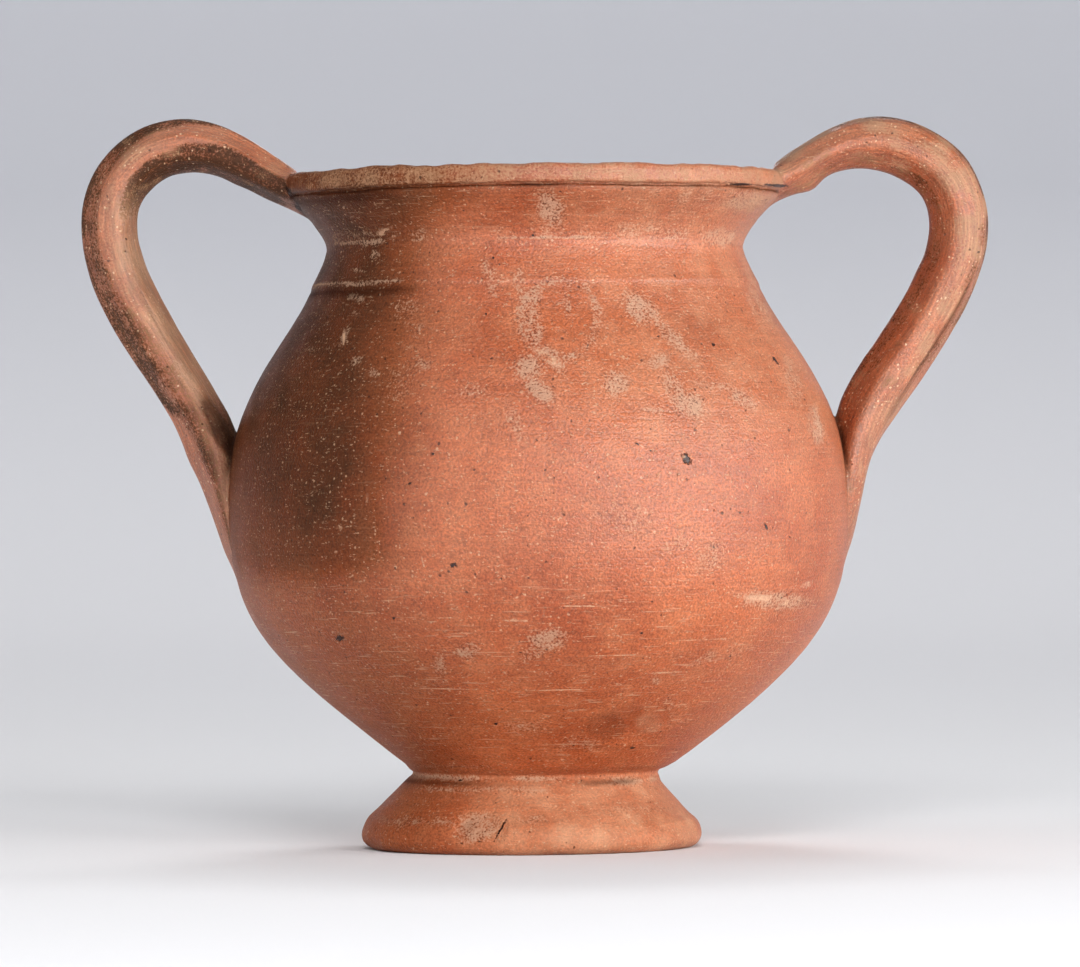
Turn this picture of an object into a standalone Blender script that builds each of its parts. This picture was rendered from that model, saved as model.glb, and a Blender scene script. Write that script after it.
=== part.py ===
"""Kantharos: a plain clay drinking cup with a foot, a belly, a lip and two tall handles.

Units are metres and +Z is up. The cup stands on its foot at z = 0, its own axis is
the Z axis, and a handle reaches out along X on each side. Clay, foot and handles are
one fired piece, so the cup is one solid.
"""

import math

import bmesh
import bpy
from mathutils import Matrix, Vector

# Foot: a rounded edge, a cone up to the narrow stem, a hollow underneath.
FOOT_RADIUS = 0.0340
FOOT_EDGE_HEIGHT = 0.0028
BEARING_RING_WIDTH = 0.0060
STEM_RADIUS = 0.0249
STEM_HEIGHT = 0.0153
FOOT_HOLLOW_DEPTH = 0.0100
FOOT_OFF_CENTRE = -0.0018

# Bowl: each height is counted from the one before it.
BELLY_RADIUS = 0.0621
STEM_TO_BELLY = 0.0539
SHOULDER_RADIUS = 0.0447
BELLY_TO_SHOULDER = 0.0428
NECK_RADIUS = 0.0417
SHOULDER_TO_NECK = 0.0079
LIP_RADIUS = 0.0500
NECK_TO_RIM = 0.0148
LIP_HEIGHT = 0.0040
LIP_STEP = 0.0005
LIP_ROUNDING = 0.0010
WALL = 0.0046
FLOOR_ABOVE_STEM = 0.0022

# Handles: oval rods that leave the lip, rise above it and run out down the belly.
HANDLE_BEYOND_BELLY = 0.0287
HANDLE_ABOVE_RIM = 0.0113
HANDLE_THICKNESS = 0.0114
HANDLE_WIDTH = 0.0135
ROOT_THICKNESS = 0.0086
ROOT_WIDTH = 0.0175
TAIL_WIDTH = 0.0185
TAIL_LENGTH = 0.0340
TAIL_BURIED = 0.0030

# The two handles differ a little, as each was shaped and pressed on by hand:
# root_drop  from the rim down to the middle of the rod where it leaves the lip
# peak       how far out the highest point lies, as a share of the way out
# stand_off  from the belly to the middle of the rod where the tail begins
# tail       how high the tail stands on the belly, as a share
LEFT = {
    "side": -1,
    "root_drop": 0.0045,
    "peak": 0.56,
    "stand_off": 0.0094,
    "lower_thickness": 0.0102,
    "tail": 1.0,
}
RIGHT = {
    "side": 1,
    "root_drop": 0.0026,
    "peak": 0.49,
    "stand_off": 0.0077,
    "lower_thickness": 0.0118,
    "tail": 0.68,
}

# Fineness of the mesh.
ROUND_STEPS = 56
ROD_STEPS = 12
ROUTE_STEPS = 3
MERGE_DISTANCE = 0.000001
SPARE = 0.004  # how far cutters and buried ends run past the face they cross

stem_z = STEM_HEIGHT
belly_z = stem_z + STEM_TO_BELLY
shoulder_z = belly_z + BELLY_TO_SHOULDER
neck_z = shoulder_z + SHOULDER_TO_NECK
rim_z = neck_z + NECK_TO_RIM


def clear_scene():
    """Take away whatever the scene holds."""
    for thing in list(bpy.data.objects):
        bpy.data.objects.remove(thing, do_unlink=True)


def bezier(start, leave, arrive, end, steps):
    """Points of a curve from start to end, both included."""
    a, b, c, d = (Vector(point) for point in (start, leave, arrive, end))
    points = []
    for step in range(steps + 1):
        t = step / steps
        s = 1 - t
        points.append(s**3 * a + 3 * s * s * t * b + 3 * s * t * t * c + t**3 * d)
    return points


def joined(*runs):
    """One outline from several runs that share their end points."""
    points = list(runs[0])
    for run in runs[1:]:
        points.extend(run[1:])
    return points


def inset(points, distance):
    """The outline moved sideways toward the axis by one wall thickness."""
    moved = []
    for index, point in enumerate(points):
        before = points[max(index - 1, 0)]
        after = points[min(index + 1, len(points) - 1)]
        along = (after - before).normalized()
        moved.append(point + distance * Vector((-along.y, along.x)))
    return moved


def radius_at(points, height):
    """Outside radius of the turned outline at a height."""
    for low, high in zip(points, points[1:]):
        if low.y <= height <= high.y:
            share = (height - low.y) / (high.y - low.y)
            return low.x + share * (high.x - low.x)
    return points[-1].x


def add_object(name, form):
    """A named object from a finished bmesh, with its faces pointing out."""
    bmesh.ops.remove_doubles(form, verts=form.verts, dist=MERGE_DISTANCE)
    bmesh.ops.recalc_face_normals(form, faces=form.faces)
    mesh = bpy.data.meshes.new(name)
    form.to_mesh(mesh)
    form.free()
    thing = bpy.data.objects.new(name, mesh)
    bpy.context.scene.collection.objects.link(thing)
    return thing


def turned(name, outline, centre_x=0.0):
    """A solid of revolution; the outline runs up from the axis and back to the axis."""
    form = bmesh.new()
    points = [form.verts.new((point.x, 0.0, point.y)) for point in outline]
    edges = [form.edges.new(pair) for pair in zip(points, points[1:])]
    bmesh.ops.spin(
        form,
        geom=points + edges,
        cent=(0.0, 0.0, 0.0),
        axis=(0.0, 0.0, 1.0),
        angle=math.tau,
        steps=ROUND_STEPS,
        use_merge=True,
    )
    thing = add_object(name, form)
    thing.location.x = centre_x
    return thing


def smooth_route(stations, steps):
    """A smooth run through stations of (out, up, thickness, width)."""
    padded = [stations[0]] + list(stations) + [stations[-1]]
    route = []
    for index in range(1, len(padded) - 2):
        before, here, after, beyond = (Vector(padded[index + shift]) for shift in (-1, 0, 1, 2))
        for step in range(steps):
            t = step / steps
            bend = 2 * before - 5 * here + 4 * after - beyond
            twist = 3 * here - before - 3 * after + beyond
            route.append(0.5 * (2 * here + (after - before) * t + bend * t * t + twist * t**3))
    route.append(Vector(stations[-1]))
    return route


def swept_rod(name, route, side):
    """An oval rod along a route that lies in the XZ plane."""
    form = bmesh.new()
    rings = []
    for index, (out, up, thickness, width) in enumerate(route):
        before = route[max(index - 1, 0)]
        after = route[min(index + 1, len(route) - 1)]
        along = Vector((side * (after[0] - before[0]), 0.0, after[1] - before[1])).normalized()
        across = Vector((0.0, 1.0, 0.0))
        outward = across.cross(along)
        place = Matrix((0.5 * thickness * outward, 0.5 * width * across, along)).transposed().to_4x4()
        place.translation = (side * out, 0.0, up)
        ring = bmesh.ops.create_circle(form, segments=ROD_STEPS, radius=1.0, matrix=place)["verts"]
        rings.append(ring)
    loops = [list({edge for corner in ring for edge in corner.link_edges}) for ring in rings]
    form.faces.new(rings[0])
    form.faces.new(rings[-1])
    for low, high in zip(loops, loops[1:]):
        bmesh.ops.bridge_loops(form, edges=low + high)
    return add_object(name, form)


def handle_stations(shape, outline):
    """Stations from inside the lip, over the top, down to the end of the tail."""
    rod = HANDLE_THICKNESS
    lower = shape["lower_thickness"]
    far = BELLY_RADIUS + HANDLE_BEYOND_BELLY - 0.5 * rod
    top = rim_z + HANDLE_ABOVE_RIM - 0.47 * rod
    root_z = rim_z - shape["root_drop"]
    join_z = belly_z + 0.425 * BELLY_TO_SHOULDER
    join = radius_at(outline, join_z) + shape["stand_off"]
    span = far - LIP_RADIUS
    rise = top - root_z
    drop = top - join_z
    stations = [
        (LIP_RADIUS - 0.65 * WALL, root_z, ROOT_THICKNESS, ROOT_WIDTH),
        (LIP_RADIUS + 0.03 * span, root_z + 0.30 * rise, ROOT_THICKNESS, 0.9 * ROOT_WIDTH),
        (LIP_RADIUS + 0.17 * span, root_z + 0.62 * rise, 0.80 * rod, 1.05 * HANDLE_WIDTH),
        (LIP_RADIUS + 0.32 * span, root_z + 0.89 * rise, 0.86 * rod, HANDLE_WIDTH),
        (LIP_RADIUS + shape["peak"] * span, top, 0.94 * rod, HANDLE_WIDTH),
        (LIP_RADIUS + 0.89 * span, top - 0.085 * drop, rod, HANDLE_WIDTH),
        (far, top - 0.30 * drop, rod, HANDLE_WIDTH),
        (join + 0.80 * (far - join), top - 0.55 * drop, rod, HANDLE_WIDTH),
        (join + 0.41 * (far - join), top - 0.775 * drop, 0.5 * (rod + lower), HANDLE_WIDTH),
        (join, join_z, lower, 1.12 * HANDLE_WIDTH),
    ]
    # The tail hugs the belly: each step gives the way down it, its height above the
    # clay as a share of the rod's thickness, and its width as a share of the full width.
    tail_shape = (
        (0.20, 0.80, 0.92),
        (0.36, 0.53, 1.00),
        (0.51, 0.35, 0.98),
        (0.66, 0.19, 0.88),
        (0.82, 0.09, 0.68),
        (1.00, -0.05, 0.36),
    )
    for down, share, width in tail_shape:
        tail_z = join_z - down * TAIL_LENGTH
        height = share * rod * shape["tail"]
        thickness = height + TAIL_BURIED
        middle = radius_at(outline, tail_z) + height - 0.5 * thickness
        stations.append((middle, tail_z, thickness, width * TAIL_WIDTH))
    return stations


def hide(thing):
    """Keep a helper out of the finished part."""
    thing.hide_render = True
    thing.display_type = "WIRE"


def combine(target, helper, operation):
    """Add or cut a helper solid."""
    step = target.modifiers.new(helper.name, "BOOLEAN")
    step.operation = operation
    step.solver = "EXACT"
    step.object = helper
    hide(helper)


def fired_clay():
    """Plain orange earthenware."""
    material = bpy.data.materials.new("terracotta")
    material.use_nodes = True
    shader = material.node_tree.nodes["Principled BSDF"]
    shader.inputs["Base Color"].default_value = (0.50, 0.17, 0.09, 1.0)
    shader.inputs["Roughness"].default_value = 0.5
    shader.inputs["Metallic"].default_value = 0.0
    return material


clear_scene()

# Bowl wall from the stem up to the lip.
lower_bowl = bezier(
    (STEM_RADIUS, stem_z),
    (STEM_RADIUS + 0.798 * (BELLY_RADIUS - STEM_RADIUS), stem_z + 0.419 * STEM_TO_BELLY),
    (BELLY_RADIUS, belly_z - 0.456 * STEM_TO_BELLY),
    (BELLY_RADIUS, belly_z),
    11,
)
upper_bowl = bezier(
    (BELLY_RADIUS, belly_z),
    (BELLY_RADIUS, belly_z + 0.518 * BELLY_TO_SHOULDER),
    (SHOULDER_RADIUS + 0.224 * (BELLY_RADIUS - SHOULDER_RADIUS), shoulder_z - 0.242 * BELLY_TO_SHOULDER),
    (SHOULDER_RADIUS, shoulder_z),
    8,
)
neck = bezier(
    (SHOULDER_RADIUS, shoulder_z),
    (SHOULDER_RADIUS - 0.35 * (SHOULDER_RADIUS - NECK_RADIUS), shoulder_z + 0.35 * SHOULDER_TO_NECK),
    (NECK_RADIUS, neck_z - 0.30 * SHOULDER_TO_NECK),
    (NECK_RADIUS, neck_z),
    3,
)
lip_base = (LIP_RADIUS - LIP_STEP, rim_z - LIP_HEIGHT)
flare_height = NECK_TO_RIM - LIP_HEIGHT
flare = bezier(
    (NECK_RADIUS, neck_z),
    (NECK_RADIUS, neck_z + 0.29 * flare_height),
    (lip_base[0] - 0.08 * (LIP_RADIUS - NECK_RADIUS), lip_base[1] - 0.10 * flare_height),
    lip_base,
    5,
)
wall_outline = joined(lower_bowl, upper_bowl, neck, flare)
lip_outline = [
    Vector((LIP_RADIUS, rim_z - LIP_HEIGHT + LIP_STEP)),
    Vector((LIP_RADIUS, rim_z - LIP_ROUNDING)),
    Vector((LIP_RADIUS - 0.3 * LIP_ROUNDING, rim_z - 0.3 * LIP_ROUNDING)),
    Vector((LIP_RADIUS - LIP_ROUNDING, rim_z)),
]

# The bowl starts a little inside the foot, on the line its wall would follow.
lead_in = (lower_bowl[0] - lower_bowl[1]).normalized() * SPARE
bowl_start = lower_bowl[0] + lead_in
bowl_outline = [Vector((0.0, bowl_start.y)), bowl_start] + wall_outline + lip_outline
bowl_outline.append(Vector((0.0, rim_z)))
cup = turned("kantharos", bowl_outline)

# Foot, set slightly off the cup's axis.
bearing_radius = FOOT_RADIUS - FOOT_EDGE_HEIGHT
foot_edge = bezier(
    (bearing_radius, 0.0),
    (FOOT_RADIUS - 0.45 * FOOT_EDGE_HEIGHT, 0.0),
    (FOOT_RADIUS, 0.45 * FOOT_EDGE_HEIGHT),
    (FOOT_RADIUS, FOOT_EDGE_HEIGHT),
    4,
)
cone_height = stem_z - FOOT_EDGE_HEIGHT
foot_cone = bezier(
    (FOOT_RADIUS, FOOT_EDGE_HEIGHT),
    (FOOT_RADIUS, FOOT_EDGE_HEIGHT + 0.26 * cone_height),
    (STEM_RADIUS, stem_z - 0.22 * cone_height),
    (STEM_RADIUS, stem_z),
    6,
)
foot_top = stem_z + 0.6 * SPARE
foot_outline = [Vector((0.0, 0.0))] + joined(foot_edge, foot_cone)
foot_outline += [Vector((STEM_RADIUS, foot_top)), Vector((0.0, foot_top))]
foot = turned("foot", foot_outline, FOOT_OFF_CENTRE)
combine(cup, foot, "UNION")

# Handles.
for name, shape in (("left_handle", LEFT), ("right_handle", RIGHT)):
    route = smooth_route(handle_stations(shape, wall_outline), ROUTE_STEPS)
    combine(cup, swept_rod(name, route, shape["side"]), "UNION")

# Drinking space: the wall outline moved in, closed by a rounded floor below.
inner_wall = inset(wall_outline, WALL)
inner_belly_radius = BELLY_RADIUS - WALL
inner_floor_z = stem_z + FLOOR_ABOVE_STEM
inner_bowl = bezier(
    (0.0, inner_floor_z),
    (0.59 * inner_belly_radius, inner_floor_z),
    (inner_belly_radius, belly_z - 0.48 * (belly_z - inner_floor_z)),
    (inner_belly_radius, belly_z),
    9,
)
inner_upper = inner_wall[len(lower_bowl) - 1::2]
mouth_radius = LIP_RADIUS - 0.4 * WALL
mouth = [
    Vector((mouth_radius, rim_z + 0.3 * LIP_ROUNDING)),
    Vector((mouth_radius, rim_z + HANDLE_ABOVE_RIM + SPARE)),
    Vector((0.0, rim_z + HANDLE_ABOVE_RIM + SPARE)),
]
drinking_space = turned("drinking_space", joined(inner_bowl, inner_upper) + mouth)
combine(cup, drinking_space, "DIFFERENCE")

# Hollow under the foot, which leaves a flat ring to stand on.
hollow_radius = bearing_radius - BEARING_RING_WIDTH
foot_hollow_outline = [Vector((0.0, -SPARE)), Vector((hollow_radius, -SPARE))]
foot_hollow_outline += bezier(
    (hollow_radius, 0.0),
    (0.90 * hollow_radius, 0.72 * FOOT_HOLLOW_DEPTH),
    (0.62 * hollow_radius, FOOT_HOLLOW_DEPTH),
    (0.0, FOOT_HOLLOW_DEPTH),
    6,
)
foot_hollow = turned("foot_hollow", foot_hollow_outline, FOOT_OFF_CENTRE)
combine(cup, foot_hollow, "DIFFERENCE")

# The finished clay body, shaded smooth apart from its real edges.
finished = cup.evaluated_get(bpy.context.evaluated_depsgraph_get())
cup.data = bpy.data.meshes.new_from_object(finished)
cup.modifiers.clear()
cup.data.materials.clear()
cup.data.materials.append(fired_clay())
cup.data.shade_smooth()
cup.data.set_sharp_from_angle(angle=math.radians(35))
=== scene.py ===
# %% [markdown]
# # The looks of a clay kantharos
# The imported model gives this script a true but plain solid: the cup's outline, its two
# handles, its hollow and its foot. A real cup of this kind was thrown on a wheel, its
# handles were rolled and pressed on while the clay was leather-hard, and it then spent two
# thousand years in the ground. All of that is on the surface, and that is what we make here.

# %% Frame
import math

import bmesh
import bpy
import numpy as np
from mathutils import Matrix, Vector, kdtree, noise


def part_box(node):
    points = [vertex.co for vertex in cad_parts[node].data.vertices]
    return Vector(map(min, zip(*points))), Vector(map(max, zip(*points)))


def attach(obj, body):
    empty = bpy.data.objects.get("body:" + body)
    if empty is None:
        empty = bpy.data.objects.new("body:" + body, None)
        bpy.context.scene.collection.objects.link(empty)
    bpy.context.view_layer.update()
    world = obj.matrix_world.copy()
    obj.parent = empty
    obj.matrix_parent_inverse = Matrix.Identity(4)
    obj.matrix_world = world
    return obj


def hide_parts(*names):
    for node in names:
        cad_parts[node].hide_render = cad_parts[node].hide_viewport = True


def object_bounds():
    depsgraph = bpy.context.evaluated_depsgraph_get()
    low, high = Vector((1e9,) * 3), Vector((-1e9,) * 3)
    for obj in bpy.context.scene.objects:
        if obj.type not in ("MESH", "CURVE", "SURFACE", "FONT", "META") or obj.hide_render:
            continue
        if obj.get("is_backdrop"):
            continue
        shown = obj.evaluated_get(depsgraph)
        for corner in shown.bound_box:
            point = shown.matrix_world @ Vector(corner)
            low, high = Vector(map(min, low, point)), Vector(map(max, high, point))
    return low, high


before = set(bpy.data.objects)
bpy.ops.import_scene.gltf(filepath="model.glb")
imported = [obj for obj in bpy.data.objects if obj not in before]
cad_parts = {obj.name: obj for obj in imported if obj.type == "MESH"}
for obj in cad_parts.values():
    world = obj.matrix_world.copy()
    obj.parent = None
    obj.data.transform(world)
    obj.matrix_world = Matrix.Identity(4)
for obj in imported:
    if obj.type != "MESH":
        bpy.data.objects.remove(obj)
CAD_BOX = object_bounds()
NODE = "kantharos"
MM = 0.001

box_low, box_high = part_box(NODE)
BELLY = box_high[1] / MM
REACH = box_high[0] / MM
TOP = box_high[2] / MM
print("solid: belly radius %.1f, reach %.1f, top %.1f mm" % (BELLY, REACH, TOP))

# %% [markdown]
# ## The outline
# A thrown pot is a solid of revolution, so one outline says almost everything. We write it in
# millimetres as a few Bezier runs, the way a potter thinks of it: foot, belly, shoulder, neck,
# lip. Between the named heights a run has only four points, so it stays easy to change.

# %% Outline sizes
FOOT = 34.0
FOOT_EDGE = 2.8
RING = 6.0
STEM = 24.9
STEM_Z = 15.3
BELLY_Z = 69.2
SHOULDER = 44.7
SHOULDER_Z = 112.0
NECK = 41.7
NECK_Z = 119.9
LIP = 50.0
RIM_Z = 134.7
LIP_HEIGHT = 4.2
WALL = 4.6
FLOOR_Z = 17.5
HOLLOW = 10.0


print("outline: foot %.0f, neck %.0f, lip %.0f mm across" % (2 * FOOT, 2 * NECK, 2 * LIP))


def bezier(start, leave, arrive, end, steps=40):
    """Points of one smooth run, both ends included."""
    t = np.linspace(0, 1, steps + 1)[:, None]
    a, b, c, d = (np.array(point, float) for point in (start, leave, arrive, end))
    return (1 - t) ** 3 * a + 3 * (1 - t) ** 2 * t * b + 3 * (1 - t) * t**2 * c + t**3 * d


def spaced(points, step):
    """The same run with its points one step apart, the last one left to the next run."""
    points = np.asarray(points, float)
    along = np.r_[0, np.cumsum(np.hypot(*np.diff(points, axis=0).T))]
    places = np.linspace(0, along[-1], max(2, round(along[-1] / step)) + 1)[:-1]
    return np.stack([np.interp(places, along, points[:, k]) for k in (0, 1)], 1)


def inset(points, distance):
    """A run moved toward the axis by the thickness of the wall."""
    along = np.gradient(points, axis=0)
    along /= np.linalg.norm(along, axis=1)[:, None]
    return points + distance * np.stack([-along[:, 1], along[:, 0]], 1)


# %% [markdown]
# The rings lie close together where there is something to see, such as the lip's undercut and
# the crusted seam above the foot, and further apart on the plain belly and inside the cup.

# %% Outline runs
bowl_rise = BELLY_Z - STEM_Z
shoulder_rise = SHOULDER_Z - BELLY_Z
neck_rise = NECK_Z - SHOULDER_Z
bearing = FOOT - FOOT_EDGE
lip_low = RIM_Z - LIP_HEIGHT

hollow = bezier(
    (0, HOLLOW),
    (0.62 * (bearing - RING), HOLLOW),
    (0.90 * (bearing - RING), 0.72 * HOLLOW),
    (bearing - RING, 0.3),
)
bearing_ring = np.array([(bearing - RING, 0.3), (bearing - RING + 0.4, 0), (bearing - 0.3, 0)])
foot_edge = bezier((bearing - 0.3, 0), (FOOT - 1.1, 0), (FOOT, 0.45 * FOOT_EDGE), (FOOT, FOOT_EDGE))
foot_cone = bezier(
    (FOOT, FOOT_EDGE),
    (FOOT, FOOT_EDGE + 0.26 * (STEM_Z - FOOT_EDGE)),
    (STEM, STEM_Z - 0.22 * (STEM_Z - FOOT_EDGE)),
    (STEM, STEM_Z),
)
lower_bowl = bezier(
    (STEM, STEM_Z),
    (STEM + 0.798 * (BELLY - STEM), STEM_Z + 0.419 * bowl_rise),
    (BELLY, BELLY_Z - 0.456 * bowl_rise),
    (BELLY, BELLY_Z),
)
upper_bowl = bezier(
    (BELLY, BELLY_Z),
    (BELLY, BELLY_Z + 0.518 * shoulder_rise),
    (SHOULDER + 0.224 * (BELLY - SHOULDER), SHOULDER_Z - 0.242 * shoulder_rise),
    (SHOULDER, SHOULDER_Z),
)
neck = bezier(
    (SHOULDER, SHOULDER_Z),
    (SHOULDER - 0.35 * (SHOULDER - NECK), SHOULDER_Z + 0.35 * neck_rise),
    (NECK, NECK_Z - 0.30 * neck_rise),
    (NECK, NECK_Z),
)
flare = bezier((NECK, NECK_Z), (NECK, NECK_Z + 3.0), (LIP - 1.3, lip_low - 1.3), (LIP - 0.7, lip_low - 0.2))
undercut = np.array([(LIP - 0.7, lip_low - 0.2), (LIP - 0.9, lip_low + 0.1), (LIP - 0.25, lip_low + 0.45)])
lip_edge = (LIP - 0.5, RIM_Z - 0.4)
lip_face = bezier((LIP - 0.25, lip_low + 0.45), (LIP + 0.15, lip_low + 0.9), (LIP + 0.1, RIM_Z - 1), lip_edge)
lip_top = bezier(lip_edge, (LIP - 1.2, RIM_Z + 0.15), (LIP - 2.8, RIM_Z + 0.15), (LIP - 3.9, RIM_Z - 1.1))
inner_flare = inset(flare, WALL)[::-1]
inner_neck = inset(neck, WALL)[::-1]
inner_upper = inset(upper_bowl, WALL)[::-1]
floor = bezier(
    (BELLY - WALL, BELLY_Z),
    (BELLY - WALL, BELLY_Z - 0.48 * (BELLY_Z - FLOOR_Z)),
    (0.59 * (BELLY - WALL), FLOOR_Z),
    (0, FLOOR_Z),
)

RUNS = (
    ("under", hollow, 2.6),
    ("under", bearing_ring, 1.2),
    ("foot", foot_edge, 0.7),
    ("foot", foot_cone[:30], 0.8),
    ("foot", foot_cone[29:], 0.4),
    ("bowl", lower_bowl[:5], 0.4),
    ("bowl", lower_bowl[4:], 1.25),
    ("bowl", upper_bowl[:30], 1.2),
    ("bowl", upper_bowl[29:], 0.7),
    ("neck", neck, 0.45),
    ("neck", flare, 0.55),
    ("lip", undercut, 0.2),
    ("lip", lip_face, 0.4),
    ("lip", lip_top, 0.5),
    ("inside", inner_flare, 1.5),
    ("inside", inner_neck, 2.0),
    ("inside", inner_upper, 2.6),
    ("inside", floor, 2.8),
)
rings = np.concatenate([spaced(points, step) for _, points, step in RUNS])
zones = np.concatenate([[zone] * len(spaced(points, step)) for zone, points, step in RUNS])
rings = rings[1:]
zones = zones[1:]
print("outline: %d rings from the foot's hollow, over the lip, to the floor" % len(rings))

# %% [markdown]
# ## Marks of the hand
# Nothing on a hand-made cup is quite round. The foot was set on a little to one side, so each
# ring's centre leans. Noise is the natural tool for the rest, but noise must have a size: lumps
# of 20 mm are fingers and palms, ripples of 2 mm are the wheel, grains of 1 mm are sand.

# %% Lean and lumps
LEAN_HEIGHTS = (0, 8, 13, 15.3, 17, 25, 45, 70, 100, 120, 135)
LEAN = (-1.7, -2.0, -1.7, -0.9, 0.0, 0.35, 0.2, 0.0, -0.1, -0.3, 0.0)


def lumps(points, size, seed=0.0):
    """Smooth noise from -1 to 1 at each point, in lumps of one size in millimetres."""
    return np.array([noise.noise(Vector(point)) for point in points / size + seed])


def soft_step(low, high, value):
    """0 below low, 1 above high, smooth between."""
    t = np.clip((value - low) / (high - low), 0, 1)
    return t * t * (3 - 2 * t)


def bump_round(value, centre, half_width):
    """A smooth hill of height 1 round one place."""
    return np.exp(-(((value - centre) / half_width) ** 2))


print("the foot stands up to %.1f mm to the left" % -min(LEAN))


# %% [markdown]
# Marks that sit in one place are given as they are seen from the front, in millimetres: how far
# across from the axis, and how high. A point on the belly is nearer to the eye than the axis is,
# so it looks a little further out than it is. seen() does that sum once for all marks.

# %% Seen from the front
EYE_DISTANCE = 1420.0
EYE_HEIGHT = 72.7
EYE_ACROSS = 0.4


def seen(points):
    """Across and height of points as the eye in front of the cup sees them."""
    scale = EYE_DISTANCE / (EYE_DISTANCE + points[:, 1])
    across = EYE_ACROSS + (points[:, 0] - EYE_ACROSS) * scale
    height = EYE_HEIGHT + (points[:, 2] - EYE_HEIGHT) * scale
    return across, height


def patch(across, height, place, half_size, tilt=0.0):
    """How near points are to an oval mark: 1 in its middle, 0 at its edge, less outside."""
    turn = math.radians(tilt)
    right = across - place[0]
    up = height - place[1]
    long_way = (right * math.cos(turn) + up * math.sin(turn)) / half_size[0]
    short_way = (up * math.cos(turn) - right * math.sin(turn)) / half_size[1]
    return 1 - np.hypot(long_way, short_way)


nearest_point = np.array([[BELLY / 2, -BELLY / 2, BELLY_Z]])
print("halfway round, %.1f mm across looks like %.1f" % (BELLY / 2, seen(nearest_point)[0][0]))


# %% [markdown]
# ## Turning the vessel
# We spin the outline ourselves instead of using a modifier, because every point then knows its
# zone, its height and its place round the cup, and can be moved for each mark. The steps round
# the cup are finer on the half that faces the eye.

# %% Points of the vessel
front_steps = np.arange(-85, 85, 0.95)
back_steps = np.arange(85, 275, 1.76)
turns = np.radians(np.r_[front_steps, back_steps])
AROUND = len(turns)

radius = np.repeat(rings[:, 0], AROUND)
height = np.repeat(rings[:, 1], AROUND)
zone = np.repeat(zones, AROUND)
turn = np.tile(turns, len(rings))
along = np.gradient(rings, axis=0)
along /= np.linalg.norm(along, axis=1)[:, None]
out_r = np.repeat(along[:, 1], AROUND)
out_z = np.repeat(-along[:, 0], AROUND)


def placed(radius, height, turn):
    """Points in space from radius, height and turn, leaning as the cup leans."""
    lean = np.where(np.repeat(zones, AROUND) == "inside", 0, np.interp(height, LEAN_HEIGHTS, LEAN))
    return np.stack([radius * np.sin(turn) + lean, -radius * np.cos(turn), height], 1)


smooth_points = placed(radius, height, turn)
print("vessel: %d points, %d round each ring" % (len(smooth_points), AROUND))

# %% [markdown]
# ## Relief of the wall
# The relief is a sum of small moves outward or inward, all in millimetres: lumps of the hand,
# ripples of the wheel (strong inside and on the neck, faint on the smoothed belly), grooves where
# a tool ran, the dent of a fingertip low on the belly, and the worn place and crack on the foot.

# %% Relief
# height, half width, mm outward, share of the wander, how much of it comes and goes
ROUND_MARKS = (
    (111.3, 0.45, -0.20, 0.6, 0.65),
    (112.5, 0.80, 0.08, 1.0, 0.0),
    (119.6, 0.50, -0.12, 1.0, 1.0),
    (125.2, 0.50, -0.10, 0.5, 0.0),
    (15.0, 0.55, -0.35, 0.5, 0.0),
    (6.6, 0.80, -0.22, 1.2, 1.0),
)
DENT = ((17.9, 24.2), (8.6, 4.2), 8)
FRONT_MARKS = (
    # place, half size, tilt, mm outward, width of its slope as a share of its size
    (*DENT, -0.75, 0.75),
    ((21.6, 24.5), (3.9, 3.0), 0, 0.42, 0.55),
    ((15.2, 3.0), (5.4, 3.4), 0, -0.28, 0.25),
    ((-33.6, 0.6), (2.2, 1.4), 0, -0.50, 0.50),
)
inside = zone == "inside"
lip = zone == "lip"
outer = ~inside & (zone != "under")
on_neck = soft_step(113, 121, height) * (zone == "neck")
on_foot = (zone == "foot").astype(float)
across, level = seen(smooth_points)
facing = smooth_points[:, 1] < 0


def wheel_marks(points, turn, pitch, seed):
    """Ripples that climb slowly as they go round, as fingers leave them."""
    climb = points[:, 2] + pitch * turn / (2 * math.pi)
    track = np.stack([0.6 * np.sin(turn), 0.6 * np.cos(turn), climb / pitch], 1)
    return lumps(track, 1.0, seed)


wander = 0.35 * lumps(smooth_points, 24, 5.0) + 0.15 * lumps(smooth_points, 6, 9.0)
broken = soft_step(-0.35, 0.25, lumps(smooth_points, 13, 2.0))
relief = 0.10 * lumps(smooth_points, 22, 1.0) + 0.04 * lumps(smooth_points, 7, 3.0)
relief += 0.018 * lumps(smooth_points, 2.4, 4.0)
fine_ripple = np.where(inside, 0.22, 0.035 + 0.07 * on_neck + 0.03 * on_foot)
relief += fine_ripple * wheel_marks(smooth_points, turn, 2.6, 7.0)
relief += np.where(inside, 0.25, 0.03) * wheel_marks(smooth_points, turn, 6.5, 17.0)
for at, half_width, outward, wandering, gaps in ROUND_MARKS:
    whole = 1 - gaps + gaps * broken
    relief += outer * outward * whole * bump_round(height, at + wandering * wander, half_width)
for place, half_size, tilt, outward, slope in FRONT_MARKS:
    mark = patch(across, level, place, half_size, tilt)
    relief += facing * outer * outward * soft_step(0, slope, mark)
relief += facing * outer * 0.16 * bump_round(patch(across, level, *DENT), 0.0, 0.16)

print("relief of the wall: from %.2f to %.2f mm" % (relief.min(), relief.max()))

# %% [markdown]
# The foot's edge has crumbled in one place and cracked beside it. The lip was pressed by fingertips
# as the wheel ran out, so its edge waves, and a tool cut the narrow groove below it.

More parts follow.
